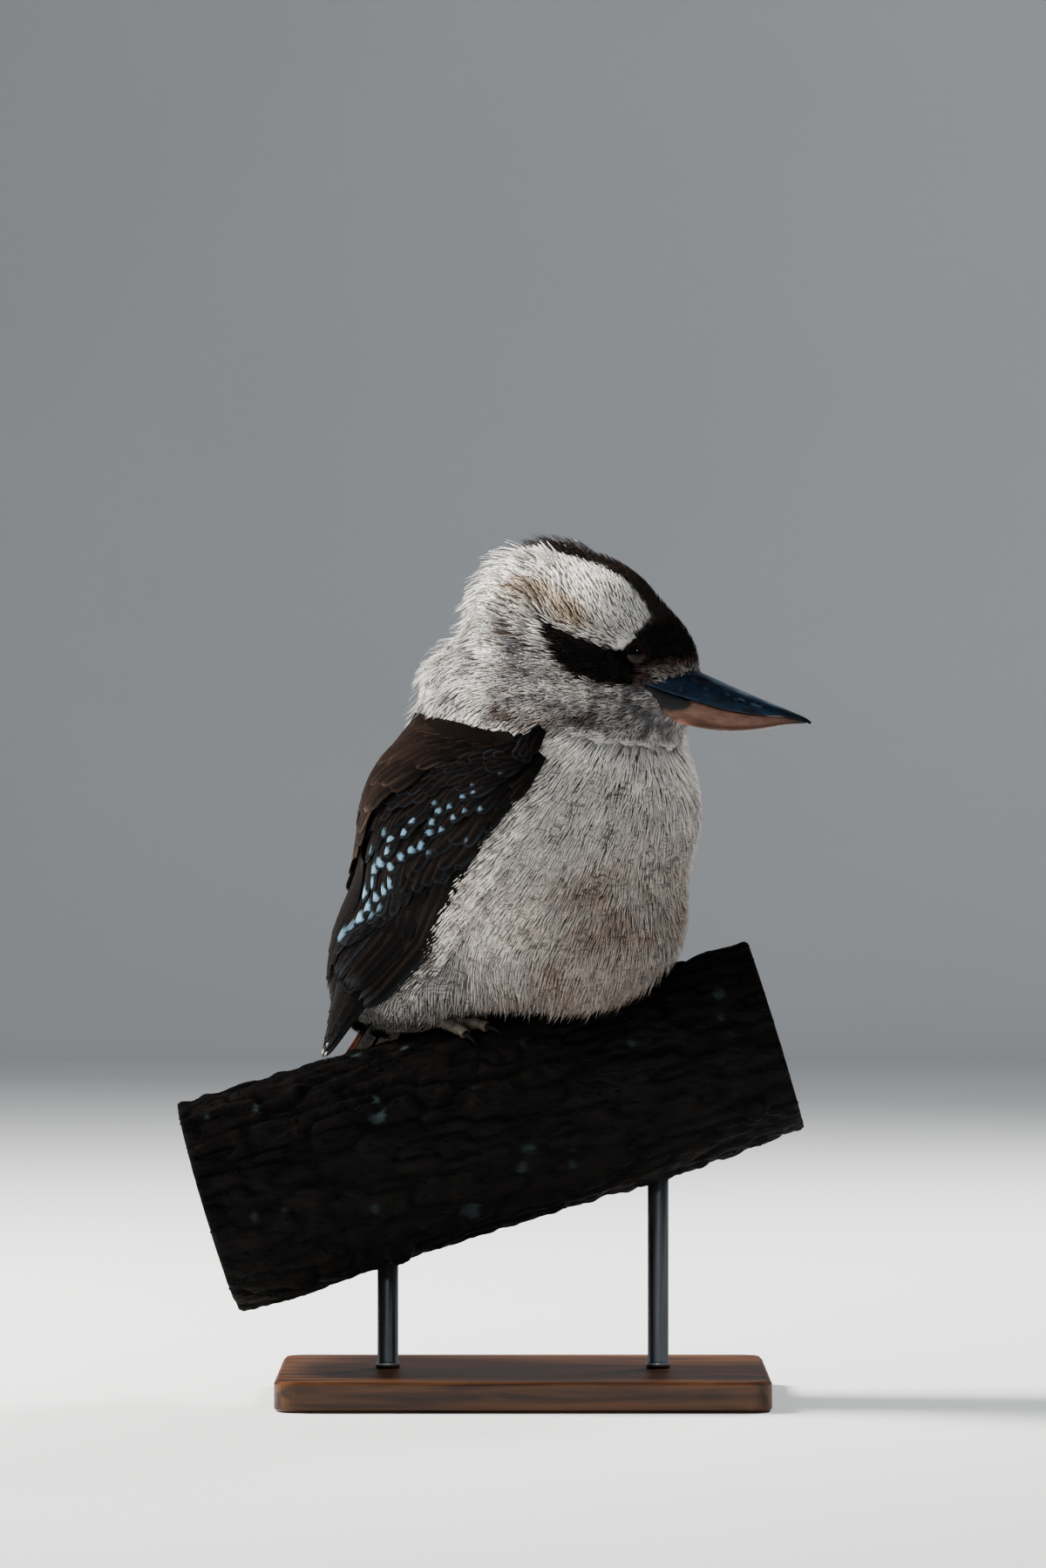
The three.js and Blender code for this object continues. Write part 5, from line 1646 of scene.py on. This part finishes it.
def coat_piece(name, roots, rng, length, width, fingers, depth, lift, material, **more):
    """One piece of the coat: feathers from their roots, coloured by the markings there."""
    tone_root, shaft, tick, dark = markings(roots)
    laid = lay_feathers(roots, rng, length, width, fingers, depth, lift, **more)
    points, faces, feather, t, finger = laid
    points = clear_of_bark(points, 0.4)
    own = rng.uniform(-1, 1, len(roots))
    split = rng.uniform(-1, 1, (len(roots), fingers))[feather, finger]
    tone = tone_root[feather] * (1 + 0.12 * own[feather] + 0.14 * split)[:, None]
    with_shaft = (rng.random(len(roots)) < shaft)[feather] & (finger == fingers // 2)
    tone = over(tone, BROWN, 0.8 * with_shaft * ramp(t, 0.2, 0.5))
    with_tip = (rng.random(len(roots)) < 0.5 * tick)[feather]
    tone = over(tone, BROWN * 1.5, 0.24 * with_tip * ramp(t, 0.5, 0.85))
    tone = over(tone, BROWN * 1.1, 0.35 * dark[feather] * ramp(t, 0.5, 1.0) * (own[feather] > 0.2))
    # Each feather is darker towards its root: partly the grey down there, partly painted shade among the
    # feathers
    tone = np.clip(tone * (0.62 + 0.38 * ramp(t, 0.0, 0.75))[:, None], 0, 0.92)
    piece = mesh_piece(name, from_body(points), faces, barb=t * 12 + own[feather] * 3,
                       ticks=tick[feather], tone=tone)
    # On the unwrap each feather is a small patch at its root's place
    sideways = np.tile(np.array([-1, 0, 1]), len(t) // 3 + 1)[:len(t)]
    patch = np.stack([(t - 0.5) * 0.003, sideways * 0.0012], 1)
    bake_map(piece, body_unwrap(roots)[feather] + patch)
    return dress(piece, material)


rng = np.random.default_rng(5)


def head_share(points):
    x, _, z = in_head(points).T
    return ramp(z, -50, -24) * ramp(x, -100, -80)


def bark_free(points):
    """True above the bark, where there is room for feathers."""
    q = from_body(points) - PERCH_AT
    return np.hypot(q @ PERCH_UP, q[:, 1]) > BARK_RADIUS - 1


def mantle_share(points):
    """How far the place is one of dark body feathers, between the wings and on the rump."""
    return markings(points)[3] * (head_share(points) < 0.5)


def trunk_keep(points):
    open_body = (head_share(points) < 0.5) & ~under_wing(points) & bark_free(points)
    return open_body & (mantle_share(points) < 0.5)


def mantle_keep(points):
    return ~under_wing(points) & bark_free(points) & (mantle_share(points) >= 0.5)


def lay_coat(name, seed, spacing, keep, shape_of, parts=1, material=PLUMAGE_PALE):
    """Scatters roots where a place is kept, and lays feathers from them in one piece or more.
    Spacing is a number, or gives one for each place. A shape draws its own random values."""
    gap = spacing if callable(spacing) else lambda p: np.full(len(p), spacing)
    roots = scatter((skin_points, skin_faces), gap, rng, lambda p: keep(p) * 1.0)
    for part in range(parts):
        own = np.random.default_rng(seed + part)
        some = roots[part::parts]
        given = shape_of(some, lambda low, high: own.uniform(low, high, len(some)))
        coat_piece(f"{name}_{part + 1}" if parts > 1 else name, some, own, material=material, **given)


def low_front(roots):
    """How far down the belly's front, where the feathers stand out most."""
    return ramp(roots[:, 2], 74, 34) * ramp(roots[:, 0], 44, 80)


def trunk_shape(roots, draw):
    return dict(length=draw(12, 18), width=draw(5, 8), fingers=6,
                depth=COAT_DEPTH, lift=draw(-0.1, 0.8) + 3.6 * low_front(roots),
                drop=0.7 * ramp(roots[:, 2], 30, 6), thick=0.14, curl=0.08)


lay_coat("coat_trunk", 60, 3.3, trunk_keep, trunk_shape, parts=4)


def mantle_shape(roots, draw):
    upper = ramp(roots[:, 2], 90, 120)
    return dict(length=draw(20, 27), width=draw(10, 13), fingers=9,
                depth=COAT_DEPTH, lift=draw(2.2, 4.0) - 4.6 * upper, shape=(0.6, 1.0, 0.9),
                splay=0.05, thick=0.22)


lay_coat("coat_mantle", 65, 4.6, mantle_keep, mantle_shape, material=PLUMAGE_DARK)


def flank_keep(points):
    u, angle = wing_frame(points)
    low = along(WING_LOW, u)
    return (u > -84) & (u < 60) & (angle > low - 14) & (angle < low - 3) & bark_free(points)


def flank_shape(roots, draw):
    return dict(length=draw(9, 15), width=draw(3.5, 6), fingers=4,
                depth=COAT_DEPTH * 0.6, lift=draw(2.6, 4.4), thick=0.16,
                lean=draw(0.05, 0.3) * np.sign(roots[:, 1]))


lay_coat("coat_flank", 67, 3.4, flank_keep, flank_shape)


def head_keep(points):
    return (head_share(points) >= 0.5) & eye_clear(points, 1.22) & bill_clear(points)


def head_shape(roots, draw):
    back = ramp(in_head(roots)[:, 0], 5, -55)
    return dict(length=4.2 + 8 * back, width=1.9 + 2.6 * back, fingers=3, depth=FACE_DEPTH + 1.2 * back,
                lift=draw(-0.1, 0.5), thick=0.12)


def head_gap(points):
    return 1.55 + 1.15 * ramp(in_head(points)[:, 0], -5, -60)


lay_coat("coat_head", 70, head_gap, head_keep, head_shape, parts=2)


# Longer ragged feathers: the crest, the nape, the cheek's scruff, and the belly's fringe over the branch
def nape_keep(points):
    x, _, z = in_head(points).T
    return ramp(x, -36, -54) * ramp(z, -66, -50) * ramp(x, -116, -104) > 0.4


def nape_shape(roots, draw):
    loose = draw(0, 1) < 0.4
    x, _, z = in_head(roots).T
    room = np.clip(z - along(MANTLE_TOP, x), 0, 20)
    loose = loose * ramp(room, 4, 12) * (0.6 + 0.6 * ramp(x, -70, -100) + 0.9 * ramp(z, 0, 18))
    return dict(length=np.minimum(draw(10, 17), 6 + room), width=draw(2.4, 4.6), fingers=3,
                depth=COAT_DEPTH * 0.8, lift=draw(-0.2, 1.2) + draw(0.8, 4.2) * loose,
                thick=0.2, splay=0.8, curl=0.15)


lay_coat("coat_nape", 80, 2.9, nape_keep, nape_shape)


def crest_keep(points):
    x, y, z = in_head(points).T
    return (np.abs(y) < 17) & (z > 8) & (x < -8) & (x > -78)


def crest_shape(roots, draw):
    x, y, _ = in_head(roots).T
    rise = ramp(x, -8, -30) * ramp(np.abs(y), 18, 6) * ramp(x, -76, -62)
    spiky = ramp(x, -26, -40) * ramp(x, -66, -56) * (draw(0, 1) < 0.45)
    return dict(length=draw(6, 9) + draw(4, 11) * spiky,
                width=draw(1.2, 2.2), fingers=3, depth=2.0,
                lift=0.3 + draw(0.6, 2.0) * rise + draw(1.0, 5.0) * spiky * rise,
                thick=0.22, splay=1.2)


lay_coat("coat_crest", 84, 2.2, crest_keep, crest_shape)


def scruff_keep(points):
    x, y, z = in_head(points).T
    return (x > -58) & (x < -8) & (z < -10) & (z > -36) & (np.abs(y) > 12)


def scruff_shape(roots, draw):
    return dict(length=draw(5, 9), width=draw(1.6, 3.0), fingers=3, depth=1.6,
                lift=draw(0.2, 1.8), thick=0.16, splay=1.1, curl=0.5)


lay_coat("coat_scruff", 87, 2.6, scruff_keep, scruff_shape)


def fringe_keep(points):
    low = (points[:, 2] > 2) & (points[:, 2] < 28) & bark_free(points)
    return low & (points[:, 0] > -30) & (points[:, 0] < 98)


def fringe_shape(roots, draw):
    return dict(length=draw(11, 29), width=draw(1.8, 3.8), fingers=3,
                depth=COAT_DEPTH * 0.6, lift=draw(0.3, 3.4) + 4.0 * low_front(roots),
                thick=0.16, splay=1.1, drop=draw(0.8, 2.8), curl=0.12)


lay_coat("coat_fringe", 90, 2.7, fringe_keep, fringe_shape)


# The display stand: its CAD base in stained wood, and turned rods in brushed steel that take the place of
# its CAD rods
def stand_wood():
    material, tree, shader = new_material("stand_wood")
    grain = noise_at(tree, object_place(tree, Scale=(5, 60, 60)), Scale=3.0, Detail=6, Distortion=0.4)
    feed(tree, shader, {
        "Base Color": two_tones(tree, grain, colour(44, 28, 19), colour(98, 66, 43), 0.35, 0.68),
        "Roughness": math_node(tree, "MULTIPLY_ADD", grain, 0.25, 0.3),
        "Normal": bumps(tree, grain, 0.25, 0.0003),
    })
    return material


def rod_steel():
    material, tree, shader = new_material("rod_steel")
    brush = noise_at(tree, object_place(tree, Scale=(900, 900, 30)), Scale=1.0)
    feed(tree, shader, {
        "Base Color": two_tones(tree, brush, colour(140, 141, 144), colour(190, 191, 193)),
        "Roughness": math_node(tree, "MULTIPLY_ADD", brush, 0.2, 0.24),
        "Metallic": 1.0,
    })
    return material


def make_rod(number, material):
    """A turned rod with a small collar at its foot, where the CAD rod stands."""
    low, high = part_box("stand_rod_" + number)
    middle = [(a + b) * 500 for a, b in zip(low, high)]
    radius = (high[0] - low[0]) * 500
    bottom, top = low[2] * 1000, high[2] * 1000
    rows = [
        (0.01, bottom), (radius + 0.5, bottom), (radius + 0.5, bottom + 2.2), (radius + 0.2, bottom + 2.6),
        (radius - 0.2, bottom + 2.8), (radius - 0.2, top - 0.3), (radius - 0.6, top), (0.01, top),
    ]
    sides = 64
    a = np.arange(sides) / sides * 2 * math.pi
    x, y = middle[0], middle[1]
    rings = [np.stack([x + r * np.cos(a), y + r * np.sin(a), np.full(sides, z)], 1) for r, z in rows]
    faces = grid_faces(len(rows), sides, closed=True)
    piece = face_out(mesh_piece("rod_" + number, np.concatenate(rings), faces, smooth=False))
    for face in piece.data.polygons:
        face.use_smooth = abs(face.normal.z) < 0.3
    dress(piece, material, ("stand_rod_" + number,))


STEEL = rod_steel()
for number in ("1", "2"):
    make_rod(number, STEEL)
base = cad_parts["stand_base"]
WOOD = stand_wood()
if not base.material_slots:
    base.data.materials.append(WOOD)
for part in base.material_slots:
    part.material = WOOD


# Floor, light and camera
def revolved(name, rows, sides=96):
    """A surface turned round the upright axis, from its rows of distance and height in metres."""
    a = np.arange(sides) / sides * 2 * math.pi
    rings = [np.stack([r * np.cos(a), r * np.sin(a), np.full(sides, z)], 1) for r, z in rows]
    faces = grid_faces(len(rows), sides, closed=True)[:, ::-1]
    return mesh_piece(name, np.concatenate(rings) * 1000, faces)


def make_floor():
    """A round pale floor, and a backdrop that sweeps up from it all round and blocks no light."""
    material, tree, shader = new_material("floor_pale")
    cloud = noise_at(tree, object_place(tree), Scale=3)
    tone = two_tones(tree, cloud, (0.66, 0.67, 0.67), (0.70, 0.71, 0.71))
    feed(tree, shader, {"Base Color": tone, "Roughness": 0.9, "Specular IOR Level": 0.1})
    edge, bend, top = 4.4, 1.4, 6.0
    floor = revolved("floor_disc", [(0.002, 0), (0.5, 0), (1.5, 0), (3.0, 0), (edge, 0)])
    turns = np.linspace(0, math.pi / 2, 24)
    sweep = [(edge + bend * math.sin(a), bend - bend * math.cos(a)) for a in turns]
    backdrop = revolved("backdrop_bowl", sweep + [(edge + bend, top)])
    for piece in (floor, backdrop):
        piece.data.materials.append(material)
    for unseen in ("visible_diffuse", "visible_glossy", "visible_shadow"):
        setattr(backdrop, unseen, False)


def soft_light(name, place, size, power, tint, in_eyes=False):
    lamp = bpy.data.lights.new(name, "AREA")
    lamp.shape = "RECTANGLE"
    lamp.size, lamp.size_y = size
    lamp.energy = power
    lamp.color = tint
    made = bpy.data.objects.new(name, lamp)
    made.location = place
    aim = Vector((0, 0, 0.26)) - Vector(place)
    made.rotation_euler = aim.to_track_quat("-Z", "Y").to_euler()
    made.visible_glossy = in_eyes
    bpy.context.scene.collection.objects.link(made)


make_floor()
soft_light("light_key", (-1.7, 0.35, 1.7), (0.7, 0.7), 165, (1.0, 0.97, 0.93))
soft_light("light_fill", (1.4, -2.6, 1.2), (1.8, 1.8), 8.5, (0.93, 0.97, 1.0))
soft_light("light_rim", (1.1, 1.6, 1.5), (0.8, 0.8), 55, (1.0, 1.0, 0.98))
soft_light("light_left", (-1.6, -2.2, 1.3), (1.4, 1.4), 10, (0.97, 0.98, 1.0))
# A small lamp that only shows as the spark in the eye and on the bill
soft_light("light_spark", (-0.25, -2.6, 1.5), (0.14, 0.14), 8, (0.9, 0.95, 1.0), in_eyes=True)
bpy.data.objects["light_spark"].visible_diffuse = False
world = bpy.data.worlds.new("studio")
world.use_nodes = True
world.node_tree.nodes["Background"].inputs["Color"].default_value = (0.80, 0.85, 0.93, 1)
world.node_tree.nodes["Background"].inputs["Strength"].default_value = 0.27
bpy.context.scene.world = world
bpy.context.scene.view_settings.look = "AgX - Medium High Contrast"

# The photo's frame of 1200 by 1799 shows this much height, in mm, at the camera's distance in metres
FRAME_HEIGHT = 719.6
CAMERA_AWAY = 3.5
CAMERA_HEIGHT = 0.282
SENSOR = 36
lens = bpy.data.cameras.new("camera")
lens.sensor_width = SENSOR
lens.lens = SENSOR * CAMERA_AWAY * 1000 / FRAME_HEIGHT
lens.clip_end = 50
camera = bpy.data.objects.new("camera", lens)
camera.location = (0, -CAMERA_AWAY, CAMERA_HEIGHT)
camera.rotation_euler = (math.radians(90), 0, 0)
bpy.context.scene.collection.objects.link(camera)
bpy.context.scene.camera = camera
